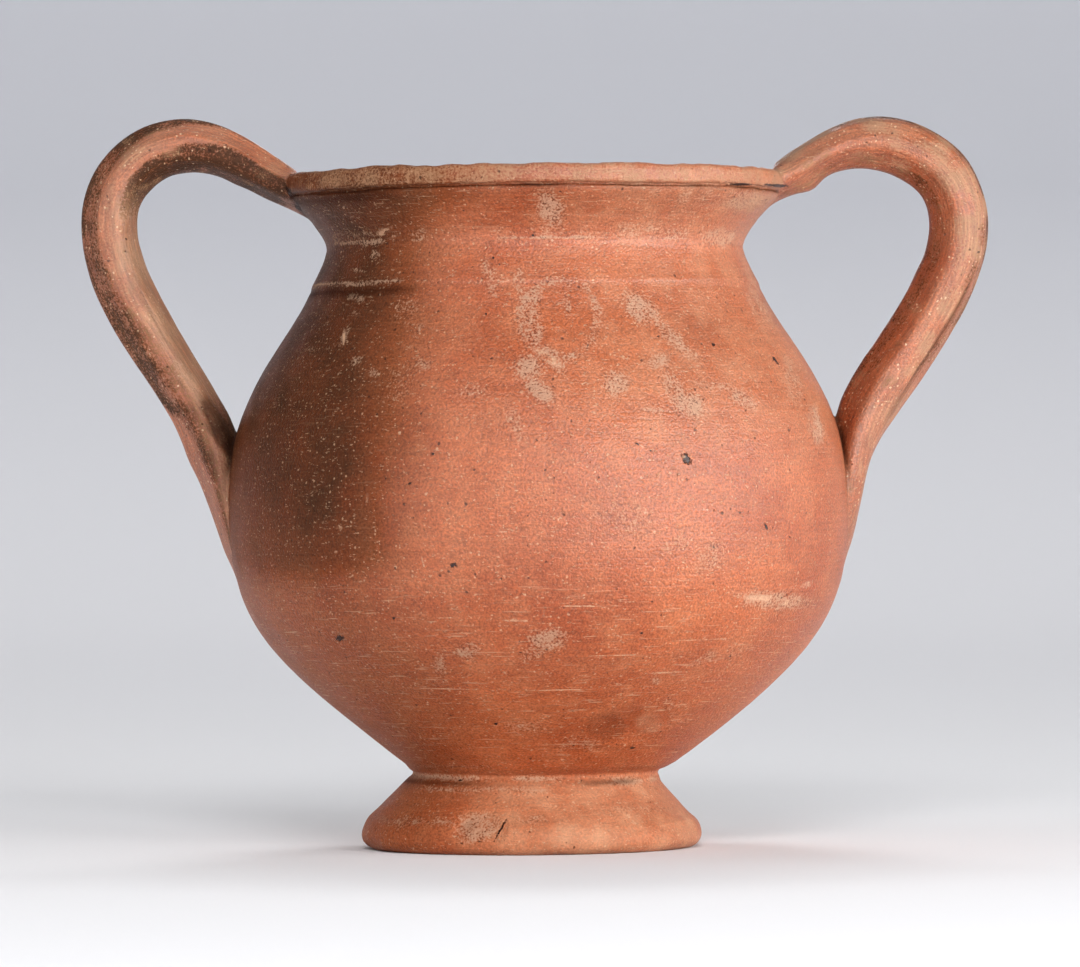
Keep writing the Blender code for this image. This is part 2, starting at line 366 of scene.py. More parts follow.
# %% Relief of foot and lip
worn_edge = patch(across, level, (-12.6, 3.4), (5.4, 3.8), 6)
crumbled = 0.55 + 0.25 * lumps(smooth_points, 1.6, 66.0)
relief -= facing * on_foot * crumbled * soft_step(0, 0.25, worn_edge)
foot_crack = patch(across + 0.5 * np.sin(1.7 * level), level, (-7.7, 2.6), (0.50, 3.4), -24)
relief -= facing * on_foot * 0.8 * soft_step(0, 0.5, foot_crack)
relief += on_foot * 0.30 * bump_round(height, 5.6 + 1.4 * lumps(smooth_points, 14, 67.0), 1.4)
rolled_edge = on_foot * bump_round(height, 3.0, 3.2)
relief += rolled_edge * (0.30 * lumps(smooth_points, 9, 63.0) + 0.12 * lumps(smooth_points, 3, 64.0))
relief += 0.25 * bump_round(height, 14.0, 1.6) * lumps(smooth_points, 5, 65.0)

lip_wave = 0.30 * lumps(smooth_points, 15, 21.0) + 0.20 * lumps(smooth_points, 4.5, 22.0)
lip_sag = facing * 0.55 * bump_round(across, -38, 9) * bump_round(height, lip_low, 1.2)
undercut_depth = bump_round(height, lip_low - 0.1, 0.45) * (lip | (zone == "neck"))
relief -= 0.60 * undercut_depth * (0.55 + 0.45 * broken)
relief += lip * (0.26 * lumps(smooth_points, 4.0, 61.0) + 0.13 * lumps(smooth_points, 1.7, 62.0))
relief[zone == "under"] *= 0.4
print("relief: from %.2f to %.2f mm" % (relief.min(), relief.max()))

# %% [markdown]
# The moved rings become one closed mesh: quads between the rings, and a fan of triangles to one
# point on the axis at either end, in the hollow of the foot and on the floor inside. A real pot has
# no open edge either, and a closed skin can be joined to the handles.

# %% Vessel mesh
moved_height = height + out_z * relief + lip * lip_wave - (lip & (height < RIM_Z - 1.5)) * lip_sag
moved_height = np.where(zone == "under", height + out_z * relief * (height > 1), moved_height)
moved_height = np.where((zone == "foot") & (height < 0.6), height, moved_height)
points = placed(radius + out_r * relief, moved_height, turn)
points[:, 2] = np.maximum(points[:, 2], 0)


def ring_faces(first, second, count):
    """Quads between two rings, given by their first points."""
    step = np.arange(count)
    following = (step + 1) % count
    return np.stack([first + step, first + following, second + following, second + step], 1)


def tube_faces(rows, count):
    """Quads between all neighbouring rings of one tube."""
    pairs = [ring_faces(row * count, (row + 1) * count, count) for row in range(rows - 1)]
    return np.concatenate(pairs).tolist()


def new_mesh(name, points, faces):
    """A mesh object from points in millimetres."""
    mesh = bpy.data.meshes.new(name)
    mesh.from_pydata([tuple(point) for point in np.asarray(points) * MM], [], [tuple(face) for face in faces])
    mesh.update()
    thing = bpy.data.objects.new(name, mesh)
    bpy.context.scene.collection.objects.link(thing)
    return thing


def turned_mesh(name, points, start_z, end_z):
    """A closed turned mesh: rings of points between two points on the axis."""
    rows = len(points) // AROUND
    faces = tube_faces(rows, AROUND)
    start = len(points)
    first_axis = points[:AROUND].mean(axis=0)
    last_axis = points[-AROUND:].mean(axis=0)
    ends = np.array([(first_axis[0], first_axis[1], start_z), (last_axis[0], last_axis[1], end_z)])
    last = (rows - 1) * AROUND
    for step in range(AROUND):
        following = (step + 1) % AROUND
        faces.append((start, following, step))
        faces.append((last + step, last + following, start + 1))
    return new_mesh(name, np.concatenate([points, ends]), faces)


vessel = turned_mesh("vessel", points, HOLLOW, FLOOR_Z)
print("vessel mesh: %d faces" % len(vessel.data.polygons))

# %% [markdown]
# ## The handles
# Each handle is a rolled rod of clay. We give its middle line as a few stations (how far out,
# how high, how thick, how wide) and run a smooth curve through them. Seen end on, a rolled rod
# that was stroked by wet fingers isn't quite oval: each stroke leaves a flatter face with a soft
# edge, and long fine ridges. Here a face is a straight cut through the oval section.

# %% Handle stations
LEFT_STATIONS = (
    # out, up, thickness, width in mm
    (36.0, 123.8, 6.6, 14.0),
    (40.0, 126.6, 6.6, 15.6),
    (43.5, 129.0, 6.8, 16.8),
    (46.5, 130.9, 7.0, 17.4),
    (49.4, 132.5, 7.6, 17.2),
    (52.4, 133.9, 8.1, 16.2),
    (55.4, 135.8, 8.5, 15.2),
    (58.5, 137.6, 9.0, 14.4),
    (62.0, 139.3, 9.5, 13.8),
    (66.0, 140.5, 10.2, 13.5),
    (70.5, 140.8, 10.7, 13.5),
    (75.1, 140.0, 11.0, 13.5),
    (78.9, 137.9, 11.1, 13.5),
    (82.2, 134.7, 11.3, 13.6),
    (84.4, 130.9, 11.3, 13.6),
    (85.3, 126.5, 11.3, 13.5),
    (85.1, 121.8, 11.2, 13.5),
    (83.9, 116.5, 11.2, 13.5),
    (82.0, 111.3, 11.3, 13.5),
    (79.0, 105.7, 11.3, 13.5),
    (75.7, 100.3, 11.1, 13.5),
    (71.8, 94.0, 10.8, 13.8),
    (69.0, 89.2, 10.4, 14.6),
    (66.3, 84.2, 10.8, 15.8),
    (64.6, 79.6, 10.8, 17.0),
    (63.4, 75.2, 9.0, 18.2),
    (62.5, 70.0, 7.2, 18.0),
    (61.5, 65.0, 5.4, 16.3),
    (60.5, 59.5, 4.0, 12.6),
    (58.8, 53.4, 2.2, 6.7),
)
RIGHT_STATIONS = (
    (36.0, 124.5, 6.6, 14.0),
    (40.0, 127.3, 6.6, 15.6),
    (43.5, 129.8, 6.8, 16.8),
    (46.5, 131.8, 7.0, 17.4),
    (49.4, 133.4, 7.6, 17.2),
    (52.4, 134.9, 8.0, 16.2),
    (55.4, 136.8, 8.0, 15.2),
    (58.4, 138.4, 8.3, 14.4),
    (61.6, 139.6, 9.2, 13.8),
    (65.2, 140.3, 10.3, 13.5),
    (69.1, 140.2, 11.0, 13.5),
    (73.2, 139.3, 11.4, 13.5),
    (77.1, 137.5, 11.7, 13.5),
    (80.6, 134.8, 11.8, 13.6),
    (83.0, 131.3, 11.7, 13.6),
    (84.4, 127.1, 11.7, 13.5),
    (84.7, 122.6, 11.8, 13.5),
    (83.7, 117.0, 11.8, 13.5),
    (81.6, 112.1, 11.9, 13.5),
    (78.5, 106.2, 11.9, 13.5),
    (75.1, 100.9, 12.0, 13.6),
    (70.9, 94.7, 11.9, 14.2),
    (67.6, 89.8, 11.8, 15.0),
    (65.0, 85.2, 10.9, 16.0),
    (63.1, 80.4, 9.4, 17.2),
    (62.3, 75.2, 7.4, 18.2),
    (61.8, 70.0, 5.9, 18.0),
    (61.2, 65.0, 4.7, 16.3),
    (60.3, 59.5, 3.7, 12.6),
    (58.8, 53.4, 2.2, 6.7),
)
print("handles: %d and %d stations" % (len(LEFT_STATIONS), len(RIGHT_STATIONS)))

# %% [markdown]
# The curve through the stations is a Catmull-Rom spline, which passes every station it is given. A
# little smoothing along it takes out small errors in the stations, so the rod bends evenly.

# %% Smooth route
ROD_STEP = 1.15
SMOOTHING_ROUNDS = 6


def smooth_route(stations):
    """Points about one step apart on a smooth curve through the stations."""
    knots = np.array([stations[0]] + list(stations) + [stations[-1]], float)
    route = []
    for a, b, c, d in zip(knots, knots[1:], knots[2:], knots[3:]):
        steps = max(2, round(np.hypot(*(c - b)[:2]) / ROD_STEP))
        for t in np.arange(steps) / steps:
            bend = 2 * a - 5 * b + 4 * c - d
            route.append(0.5 * (2 * b + (c - a) * t + bend * t**2 + (3 * b - a - 3 * c + d) * t**3))
    route = np.array(route + [knots[-1]])
    for _ in range(SMOOTHING_ROUNDS):
        route[1:-1] = 0.5 * route[1:-1] + 0.25 * (route[:-2] + route[2:])
    return route


print("routes: %d and %d rings" % (len(smooth_route(LEFT_STATIONS)), len(smooth_route(RIGHT_STATIONS))))

# %% [markdown]
# Round each place of the route lies one ring of the rod's section. Its size is cut by the stroked
# faces, then ridges along the rod and soft lumps of the hand are added, and each rod has one
# crease and one lump of its own where the picture shows them.

# %% Rolled rods
ROD_AROUND = 44
SQUARENESS = 2.4  # 2 would be an ellipse


def handle(name, stations, side, seed, facets, groove_at, lump_at):
    """A rolled rod with stroked faces, long ridges and closed ends."""
    route = smooth_route(stations)
    count = len(route)
    ahead = np.gradient(route[:, :2], axis=0)
    ahead /= np.linalg.norm(ahead, axis=1)[:, None]
    length = np.r_[0, np.cumsum(np.hypot(*np.diff(route[:, :2], axis=0).T))]
    way = np.repeat(length, ROD_AROUND)
    spin = np.tile(2 * math.pi * np.arange(ROD_AROUND) / ROD_AROUND, count)
    lift = np.cos(spin)
    wide = np.sin(spin)
    size = (np.abs(lift) ** SQUARENESS + np.abs(wide) ** SQUARENESS) ** (-1 / SQUARENESS)
    for facet_turn, facet_out in facets:
        swing = math.radians(facet_turn) + 0.16 * lumps(np.stack([way, 0 * way, 0 * way], 1), 17, seed + 9)
        size = np.minimum(size, facet_out / np.maximum(np.cos(spin - swing), 0.2))
    track = np.stack([2.2 * lift, 2.2 * wide, way / 26], 1)
    ridges = 0.15 * lumps(track, 1.0, seed) + 0.12 * lumps(track, 0.45, seed + 3)
    body = np.stack([6 * lift, 6 * wide, way], 1)
    hand = 0.24 * lumps(body, 13, seed + 5) + 0.08 * lumps(body, 4.5, seed + 6)
    groove_turn, groove_way, groove_half, groove_deep = groove_at
    off_turn = (spin - math.radians(groove_turn) + math.pi) % (2 * math.pi) - math.pi
    hand -= groove_deep * bump_round(off_turn, 0, 0.13) * bump_round(way, groove_way, groove_half)
    lump_way, lump_high = lump_at
    hand += lump_high * bump_round(way, lump_way, 2.4) * bump_round(np.abs(spin - math.pi), 0, 0.9)
    half_thick = 0.5 * np.repeat(route[:, 2], ROD_AROUND) * size + ridges + hand
    half_wide = 0.5 * np.repeat(route[:, 3], ROD_AROUND) * size + ridges + hand
    up_x = -np.repeat(ahead[:, 1], ROD_AROUND)
    up_z = np.repeat(ahead[:, 0], ROD_AROUND)
    x = np.repeat(route[:, 0], ROD_AROUND) + up_x * lift * half_thick
    z = np.repeat(route[:, 1], ROD_AROUND) + up_z * lift * half_thick
    points = np.stack([side * x, -wide * half_wide, z], 1)
    faces = tube_faces(count, ROD_AROUND)
    faces.append(tuple(range(ROD_AROUND))[::-1])
    faces.append(tuple(range((count - 1) * ROD_AROUND, count * ROD_AROUND)))
    thing = new_mesh(name, points, faces)
    tidy = bmesh.new()
    tidy.from_mesh(thing.data)
    bmesh.ops.recalc_face_normals(tidy, faces=tidy.faces)
    tidy.to_mesh(thing.data)
    tidy.free()
    print("%s: %d rings along %.0f mm of rod" % (name, count, length[-1]))
    return thing


# facets: turn in degrees from the outer side toward the front, and how far out the face lies
LEFT_FACETS = ((42, 0.90), (150, 0.95), (222, 0.92), (318, 0.92))
RIGHT_FACETS = ((135, 0.85), (62, 0.95), (18, 0.94), (230, 0.92), (310, 0.93))
left_handle = handle("left_handle", LEFT_STATIONS, -1, 31.0, LEFT_FACETS, (116, 84, 18, 0.16), (26, 0.25))
right_handle = handle("right_handle", RIGHT_STATIONS, 1, 47.0, RIGHT_FACETS, (40, 88, 18, 0.65), (20, 0.9))

# %% [markdown]
# ## Pressing the handles on
# A Boolean union joins rod and wall into one skin, as fired clay is. The rod's root would poke
# through into the mouth, so it is first cut back by a core that ends inside the wall. The
# MANIFOLD solver is quick on closed fine meshes such as these.

# %% Core and union
IN_WALL = 2.6
CORE_LOW = 60.0
CORE_TOP = TOP + 5
core_outline = np.concatenate(
    [
        [(0.5, CORE_LOW), (BELLY - IN_WALL, CORE_LOW), (BELLY - IN_WALL, BELLY_Z)],
        inset(upper_bowl, IN_WALL)[1::6],
        inset(neck, IN_WALL)[1::6],
        inset(flare, IN_WALL)[1:-8:4],
        [(LIP - 2.6, RIM_Z - 2.0), (LIP - 2.4, RIM_Z + 0.2), (LIP - 2.2, CORE_TOP), (0.5, CORE_TOP)],
    ]
)
core_turn = np.tile(turns, len(core_outline))
core_radius = np.repeat(core_outline[:, 0], AROUND)
core_height = np.repeat(core_outline[:, 1], AROUND)
core_points = np.stack([core_radius * np.sin(core_turn), -core_radius * np.cos(core_turn), core_height], 1)
core = turned_mesh("core", core_points, CORE_LOW, CORE_TOP)


def baked(thing, other, operation):
    """The mesh of one thing with another added or cut away."""
    step = thing.modifiers.new("join", "BOOLEAN")
    step.operation = operation
    step.solver = "MANIFOLD"
    step.object = other
    depsgraph = bpy.context.evaluated_depsgraph_get()
    mesh = bpy.data.meshes.new_from_object(thing.evaluated_get(depsgraph))
    thing.modifiers.clear()
    thing.data = mesh


def mark_part(thing, value):
    """Say on each face which part of the cup it came from."""
    label = thing.data.attributes.new("part", "INT", "FACE")
    label.data.foreach_set("value", np.full(len(thing.data.polygons), value, np.int32))


mark_part(vessel, 0)
mark_part(left_handle, 1)
mark_part(right_handle, 2)
mark_part(core, 3)
for rod in (left_handle, right_handle):
    baked(rod, core, "DIFFERENCE")
    baked(vessel, rod, "UNION")
print("joined skin: %d faces" % len(vessel.data.polygons))

for helper in (left_handle, right_handle, core):
    bpy.data.objects.remove(helper, do_unlink=True)

# %% [markdown]
# Where clay is pressed on clay, a finger smears the joint. We find the seam between the parts,
# and near it let each point drift to the middle of its neighbours. The drift is strong low on
# the handle's tail, where the clay was stroked down, and weak in the narrow cleft above it.

# %% Luting the joints
LUTED_WITHIN = 4.2
LUTING_ROUNDS = 12

skin = bmesh.new()
skin.from_mesh(vessel.data)
bmesh.ops.dissolve_degenerate(skin, dist=0.04 * MM, edges=skin.edges)
part_layer = skin.faces.layers.int["part"]
seam_edges = [
    edge
    for edge in skin.edges
    if len(edge.link_faces) == 2 and edge.link_faces[0][part_layer] != edge.link_faces[1][part_layer]
]
seam = {corner for edge in seam_edges for corner in edge.verts}
seam_points = [corner.co / MM for corner in seam]
skin.verts.index_update()
points = np.array([corner.co for corner in skin.verts]) / MM
links = np.array([[edge.verts[0].index, edge.verts[1].index] for edge in skin.edges])
part = np.array([max(face[part_layer] for face in corner.link_faces) for corner in skin.verts])
skin.to_mesh(vessel.data)
skin.free()

print("seam: %d points between wall and handles" % len(seam_points))

# %% [markdown]
# How far a point drifts falls off with its distance from the seam. The cleft above each tail and
# the left root, where the picture shows an open crack, keep their sharp inner corner.

# %% Drift of the clay
seam_tree = kdtree.KDTree(len(seam_points))
for number, place in enumerate(seam_points):
    seam_tree.insert(place, number)
seam_tree.balance()
near_handle = (np.abs(points[:, 0]) > 38) & (points[:, 2] > 45) & (np.abs(points[:, 1]) < 22)
from_seam = np.full(len(points), 99.0)
for number in np.flatnonzero(near_handle):
    from_seam[number] = seam_tree.find(Vector(points[number]))[2]
drift = 0.62 * soft_step(LUTED_WITHIN, 0.8, from_seam)
cleft = bump_round(points[:, 2], 80.5, 7.5)
drift *= 1 - 0.93 * cleft * (np.abs(points[:, 0]) > 50)
left_root = (points[:, 0] < -40) & (points[:, 2] > 118) & (points[:, 2] < 130.5)
drift *= np.where(left_root, 0.12, 1.0)


def relaxed(points, links, weight, rounds):
    """Points that drift to the middle of their neighbours, by weight."""
    neighbours = np.bincount(links.ravel(), minlength=len(points))
    for _ in range(rounds):
        middle = np.empty_like(points)
        for axis in range(3):
            sums = np.bincount(links[:, 0], points[links[:, 1], axis], len(points))
            sums += np.bincount(links[:, 1], points[links[:, 0], axis], len(points))
            middle[:, axis] = sums / neighbours
        points = points + weight[:, None] * (middle - points)
    return points


points = relaxed(points, links, drift, LUTING_ROUNDS)
vessel.data.vertices.foreach_set("co", (points * MM).ravel())
vessel.data.update()
print("luted: %d points drift near %d seam points" % ((drift > 0.01).sum(), len(seam_points)))

# %% [markdown]
# ## Where the surface differs
# Fire, soil and handling each leave their own areas, and some of the same fields carry painted light
# and shade. We store each as a number on every point: 0 for none, 1 for full. The material then reads
# that number and breaks its edge up with fine noise, so a plain oval becomes a crumbly crust or a
# drifting cloud of smoke.

# %% Places of soil crust
CRUSTS = (
    # across, height, half length, half width in mm, tilt in degrees, strength
    (-33.2, 121.1, 2.4, 0.8, 0, 0.80),
    (-32.2, 118.7, 1.3, 1.1, 0, 0.80),
    (-35.4, 115.6, 1.8, 0.5, -12, 0.80),
    (-35.9, 110.1, 2.2, 0.8, -18, 0.95),
    (-36.3, 107.1, 1.1, 0.7, 0, 0.80),
    (-38.6, 102.3, 2.4, 0.8, 62, 0.85),
    (-23.4, 104.0, 1.8, 0.7, 50, 0.75),
    (-22.8, 97.0, 2.6, 1.2, -30, 0.75),
    (-36.2, 97.7, 1.4, 1.1, 30, 0.70),
    (-32.8, 95.3, 1.2, 1.2, 0, 0.70),
    (-27.5, 92.5, 4.5, 3.0, 60, 0.42),
    (-26.0, 108.0, 4.0, 3.0, 70, 0.42),
    (-9.4, 114.0, 1.6, 5.0, 8, 0.60),
    (-3.2, 112.5, 1.4, 4.5, 10, 0.60),
    (-0.7, 110.0, 2.4, 2.0, 0, 0.80),
    (-1.0, 103.5, 2.6, 6.4, 6, 0.80),
    (-2.0, 96.0, 3.4, 3.2, 0, 0.90),
    (0.5, 91.2, 4.4, 2.2, -28, 1.00),
    (-4.5, 84.6, 1.6, 5.0, 18, 0.62),
    (-13.0, 91.0, 5.0, 2.0, 20, 0.50),
    (2.8, 97.6, 5.2, 2.2, -33, 0.70),
    (6.0, 108.4, 1.3, 3.4, 6, 0.66),
    (15.6, 92.7, 3.0, 2.8, 0, 0.90),
    (20.6, 107.8, 4.4, 3.0, -38, 0.95),
    (27.2, 101.6, 7.4, 1.6, -44, 0.78),
    (24.4, 97.0, 3.4, 1.6, 10, 0.70),
    (27.4, 91.6, 2.4, 4.0, 25, 0.75),
    (30.2, 88.0, 3.6, 3.0, -20, 1.00),
    (24.0, 87.6, 4.6, 1.0, 0, 0.55),
    (41.1, 89.1, 3.6, 1.5, -38, 0.95),
    (35.6, 91.9, 4.6, 1.2, -6, 0.70),
    (3.0, 127.6, 2.8, 4.4, 25, 0.95),
    (44.0, 128.6, 7.0, 2.6, 0, 0.85),
    (37.0, 121.7, 4.2, 2.2, 0, 0.80),
    (44.5, 110.5, 3.0, 8.0, 22, 0.60),
    (51.0, 93.0, 2.0, 6.0, 20, 0.60),
    (55.5, 84.0, 1.8, 5.5, 14, 0.75),
    (47.2, 49.0, 8.6, 2.2, -3, 0.85),
    (1.8, 41.4, 5.0, 2.4, 5, 0.90),
    (-1.0, 38.8, 4.6, 1.6, 25, 0.60),
    (-14.4, 39.4, 3.4, 1.8, 0, 0.80),
    (-19.6, 36.4, 1.8, 3.6, 0, 0.60),
    (34.6, 58.0, 2.6, 4.6, -30, 0.66),
    (28.0, 60.4, 4.0, 2.2, 20, 0.55),
    (18.0, 66.0, 8.0, 4.0, 0, 0.40),
    (38.6, 38.6, 1.8, 1.4, 0, 0.60),
    (33.0, 37.4, 3.0, 1.2, 25, 0.60),
    (23.0, 33.2, 1.4, 1.2, 0, 0.80),
    (25.6, 28.4, 1.6, 1.8, 0, 0.60),
    (-4.0, 24.0, 6.0, 1.2, 0, 0.50),
    (8.0, 20.5, 6.0, 1.6, 0, 0.45),
    (-12.6, 4.0, 4.6, 3.4, 12, 0.95),
    (-1.0, 5.6, 4.4, 1.0, 4, 0.70),
    (-30.6, 5.5, 5.0, 0.8, -25, 0.60),
    (25.0, 12.0, 2.4, 1.6, -30, 0.60),
)


def painted(across, height, places, edge=0.55):
    """The strongest of many marks at each point seen from the front."""
    value = np.zeros(len(across))
    for x, z, long_way, short_way, tilt, strength in places:
        near = patch(across, height, (x, z), (long_way * 1.25, short_way * 1.25), tilt)
        value = np.maximum(value, strength * np.clip(near / edge, 0, 1))
    return value


print("%d patches of soil on the front" % len(CRUSTS))

# %% [markdown]
# Bands are crusts and shadows that run round the cup at one height, such as the dirt left in the
# seam above the foot. They are broken up by noise, so they come and go as you walk round. First we
# say for each point where it is: in the mouth, under the foot, on a handle or on the wall outside.

# %% Fields
CRUST_BANDS = (
    # height, half width, strength, first and last place across in mm where it shows in front
    (121.8, 1.4, 0.46, -42, -20),
    (121.9, 1.4, 0.44, -20, 12),
    (121.8, 1.7, 0.56, 12, 41),
    (120.5, 0.22, 1.20, -40, 34),
    (112.4, 0.42, 1.10, -46, -26),
    (112.3, 0.25, 0.90, -26, -2),
    (14.9, 0.7, 1.15, -27, 4),
    (12.6, 0.6, 0.80, -24, 2),
    (14.0, 0.9, 1.00, 14, 28),
    (17.2, 0.4, 0.60, -26, -8),
    (6.2, 1.1, 0.60, -30, -14),
    (8.4, 0.8, 0.50, 10, 30),
    (128.6, 2.6, 0.45, 20, 48),
    (99.6, 0.22, 0.85, -48, 2),
)


def strongest(*values):
    """The largest of several values at each point."""
    return np.maximum.reduce(values)


across, level = seen(points)
x, y, z = points.T
distance = np.hypot(x - np.interp(z, LEAN_HEIGHTS, LEAN), y)
outline_z = np.concatenate([lower_bowl, upper_bowl[1:], neck[1:], flare[1:]])
outer_radius = np.interp(z, outline_z[:, 1], outline_z[:, 0])
is_handle = part > 0
in_mouth = (z > FLOOR_Z - 2) & (distance < outer_radius - 0.5 * WALL) & ~is_handle
in_mouth |= (z > RIM_Z - 3) & (distance < LIP - 3.2) & ~is_handle
under = (z < 9.5) & (distance < FOOT - FOOT_EDGE - RING + 1.0)
outside = ~in_mouth & ~under
on_wall = outside * ~is_handle
to_front = soft_step(8, -14, y)
patchy = 0.5 + 0.5 * lumps(points, 9, 41.0)
drifting = 0.5 + 0.5 * lumps(points, 16, 43.0)
crumbly = 0.5 + 0.5 * lumps(points, 3.4, 44.0)
both = 0.6 * drifting + 0.4 * crumbly

ring_mark = np.clip(1 - np.abs(np.hypot(across - 4.4, level - 105.6) - 7.8) / 1.9, 0, 1)
ring_mark *= 0.85 * soft_step(0.20, 0.5, crumbly)
crust = to_front * strongest(painted(across, level, CRUSTS), ring_mark)
for place, half_width, strength, first, last in CRUST_BANDS:
    in_front = soft_step(first - 3, first + 2, across) * soft_step(last + 3, last - 2, across)
    band = bump_round(z, place + 0.5 * lumps(points, 11, 51.0), half_width)
    band *= strength * np.where(y < 0, in_front, 0.55)
    crust = np.maximum(crust, band * on_wall * soft_step(0.22, 0.55, both))
behind = to_front < 0.5
crust = np.maximum(crust, behind * 0.75 * soft_step(0.72, 0.84, 0.7 * drifting + 0.3 * crumbly))
crust[in_mouth] = 0.45 * soft_step(0.66, 0.82, drifting[in_mouth])
crust[under] = 0.60 * soft_step(0.60, 0.80, drifting[under])
print("crust on %.0f%% of the points" % (100 * (crust > 0.3).mean()))

# %% [markdown]
# The smoke cloud fills the upper left of the wall. We give its right edge as a line: for some
# heights, where the edge is, how soft it is and how dark it gets. Noise of 16 mm makes it drift. The
# same field is thinner at the left edge of the belly, a painted reflection, and carries painted shade
# on the neck under the lip.

# %% Smoke and painted shade
SMOKE_EDGE = (
    # height, edge across, half softness, amount
    (0.0, -22.0, 7.0, 0.34),
    (16.0, -19.0, 9.0, 0.38),
    (24.0, -18.0, 12.0, 0.40),
    (34.0, -21.0, 13.0, 0.40),
    (42.0, -25.0, 13.0, 0.34),
    (47.0, -27.0, 13.0, 0.34),
    (52.0, -32.0, 13.0, 0.40),
    (58.0, -30.0, 13.0, 0.85),
    (66.0, -29.0, 12.0, 0.98),
    (76.0, -29.0, 12.0, 1.00),
    (86.0, -28.0, 12.0, 1.00),
    (100.0, -27.0, 12.0, 1.00),
    (112.0, -23.5, 12.0, 1.00),
    (120.0, -22.5, 12.0, 1.00),
    (126.0, -20.5, 16.0, 1.00),
    (130.0, -15.0, 20.0, 1.00),
    (136.0, -15.0, 20.0, 0.80),
)
edge_z, edge_x, edge_soft, edge_dark = np.array(SMOKE_EDGE).T
edge_at = np.interp(level, edge_z, edge_x) + 5.0 * (drifting - 0.5)
soft_at = np.interp(level, edge_z, edge_soft)
smoke = soft_step(edge_at + soft_at, edge_at - soft_at, across)
smoke *= np.interp(level, edge_z, edge_dark)
# thinner at the belly's left edge: a painted reflection of the light from the left
smoke *= 1 - 0.30 * bump_round(level, 62, 14) * soft_step(-50, -60, across)
smoke *= 0.90 + 0.20 * (patchy - 0.5)
# painted shade on the downward-facing neck under the lip
smoke = np.maximum(smoke, 0.20 * soft_step(121, 125, z) * soft_step(132, 130, z) * (0.7 + 0.6 * patchy))
smoke *= soft_step(48, 14, y) * on_wall
print("smoke on %.0f%% of the points" % (100 * (smoke > 0.3).mean()))

# %% [markdown]
# The handles have their own wear. To place it we need to know, at each point of a rod, how far
# along the rod it is and whether it lies on the outer or the inner side. Both come from the
# nearest point of the rod's middle line.

# %% Places on the rods
rod_place = np.zeros((len(points), 3))
outer_side = np.zeros(len(points))
for stations, side in ((LEFT_STATIONS, -1), (RIGHT_STATIONS, 1)):
    own = np.flatnonzero(part == (1 if side < 0 else 2))
    route = smooth_route(stations)
    flat = np.stack([side * points[own, 0], points[own, 2]], 1)
    apart = ((flat[:, None, :] - route[None, :, :2]) ** 2).sum(axis=2)
    nearest = apart.argmin(axis=1)
    ahead = np.gradient(route[:, :2], axis=0)[nearest]
    ahead /= np.linalg.norm(ahead, axis=1)[:, None]
    gap = flat - route[nearest, :2]
    lift = gap[:, 1] * ahead[:, 0] - gap[:, 0] * ahead[:, 1]
    length = np.r_[0, np.cumsum(np.hypot(*np.diff(route[:, :2], axis=0).T))][nearest]
    onward = length + (gap * ahead).sum(axis=1)
    rod_place[own] = np.stack([lift, points[own, 1], onward], 1)
    outer_side[own] = lift / (0.5 * route[nearest, 2])
way = rod_place[:, 2]
print("rods: %.0f and %.0f mm long" % (way[part == 1].max(), way[part == 2].max()))

# %% [markdown]
# Hands and fire mark a handle lengthwise, and shade is painted on as well. Soot and painted shade lie
# in a dark band that starts on the left rod's outer side and climbs over it; on the right one painted
# shade fills the inner side. Each edge is given as pairs of way along the rod and place across it, and
# shaken by noise stretched along the rod.

# %% Handle wear and painted shade
left_rod, right_rod = part == 1, part == 2
mottled = 0.5 + 0.5 * lumps(rod_place * (0.8, 0.8, 0.16), 2.2, 71.0)
spotted = 0.5 + 0.5 * lumps(points, 5.0, 72.0)
ragged = 0.14 * (spotted - 0.5) + 0.10 * (mottled - 0.5)


def along_rod(*steps):
    """A value that changes along a rod, from pairs of way and value."""
    return np.interp(way, *np.array(steps).T) + ragged


# the left rod: soot and painted shade on its outer side, climbing over it; painted shade under the arch and
# in the cleft
BAND_LOW = (24, 1.05), (34, 0.85), (48, 0.50), (58, 0.40), (74, 0.20), (86, -0.14), (104, -0.22), (114, -0.10)
band_low = along_rod(*BAND_LOW, (128, 0.05))
band_high = along_rod((92, 2.2), (100, 0.95), (107, 0.58), (118, 0.42), (130, 0.30))
outer_soot_and_shade = soft_step(-0.12, 0.12, outer_side - band_low) * soft_step(0.20, -0.15, outer_side - band_high)
outer_soot_and_shade *= along_rod((40, 0.92), (62, 0.74), (96, 0.66), (124, 0.82)) * (0.72 + 0.5 * spotted)
arch_high = along_rod((8, 0.2), (30, 0.28), (42, -0.08), (58, -0.30))
shade_under_arch = soft_step(0.16, -0.16, outer_side - arch_high) * soft_step(68, 54, way) * soft_step(8, 18, way)
cleft_shade = soft_step(99, 112, way) * soft_step(-0.25, -0.55, outer_side + ragged)
stains = 0.55 * soft_step(0.62, 0.78, spotted) * soft_step(66, 46, way)
soot_and_shade_left = strongest(outer_soot_and_shade, 0.95 * shade_under_arch, cleft_shade, stains) * (0.72 + 0.42 * mottled)

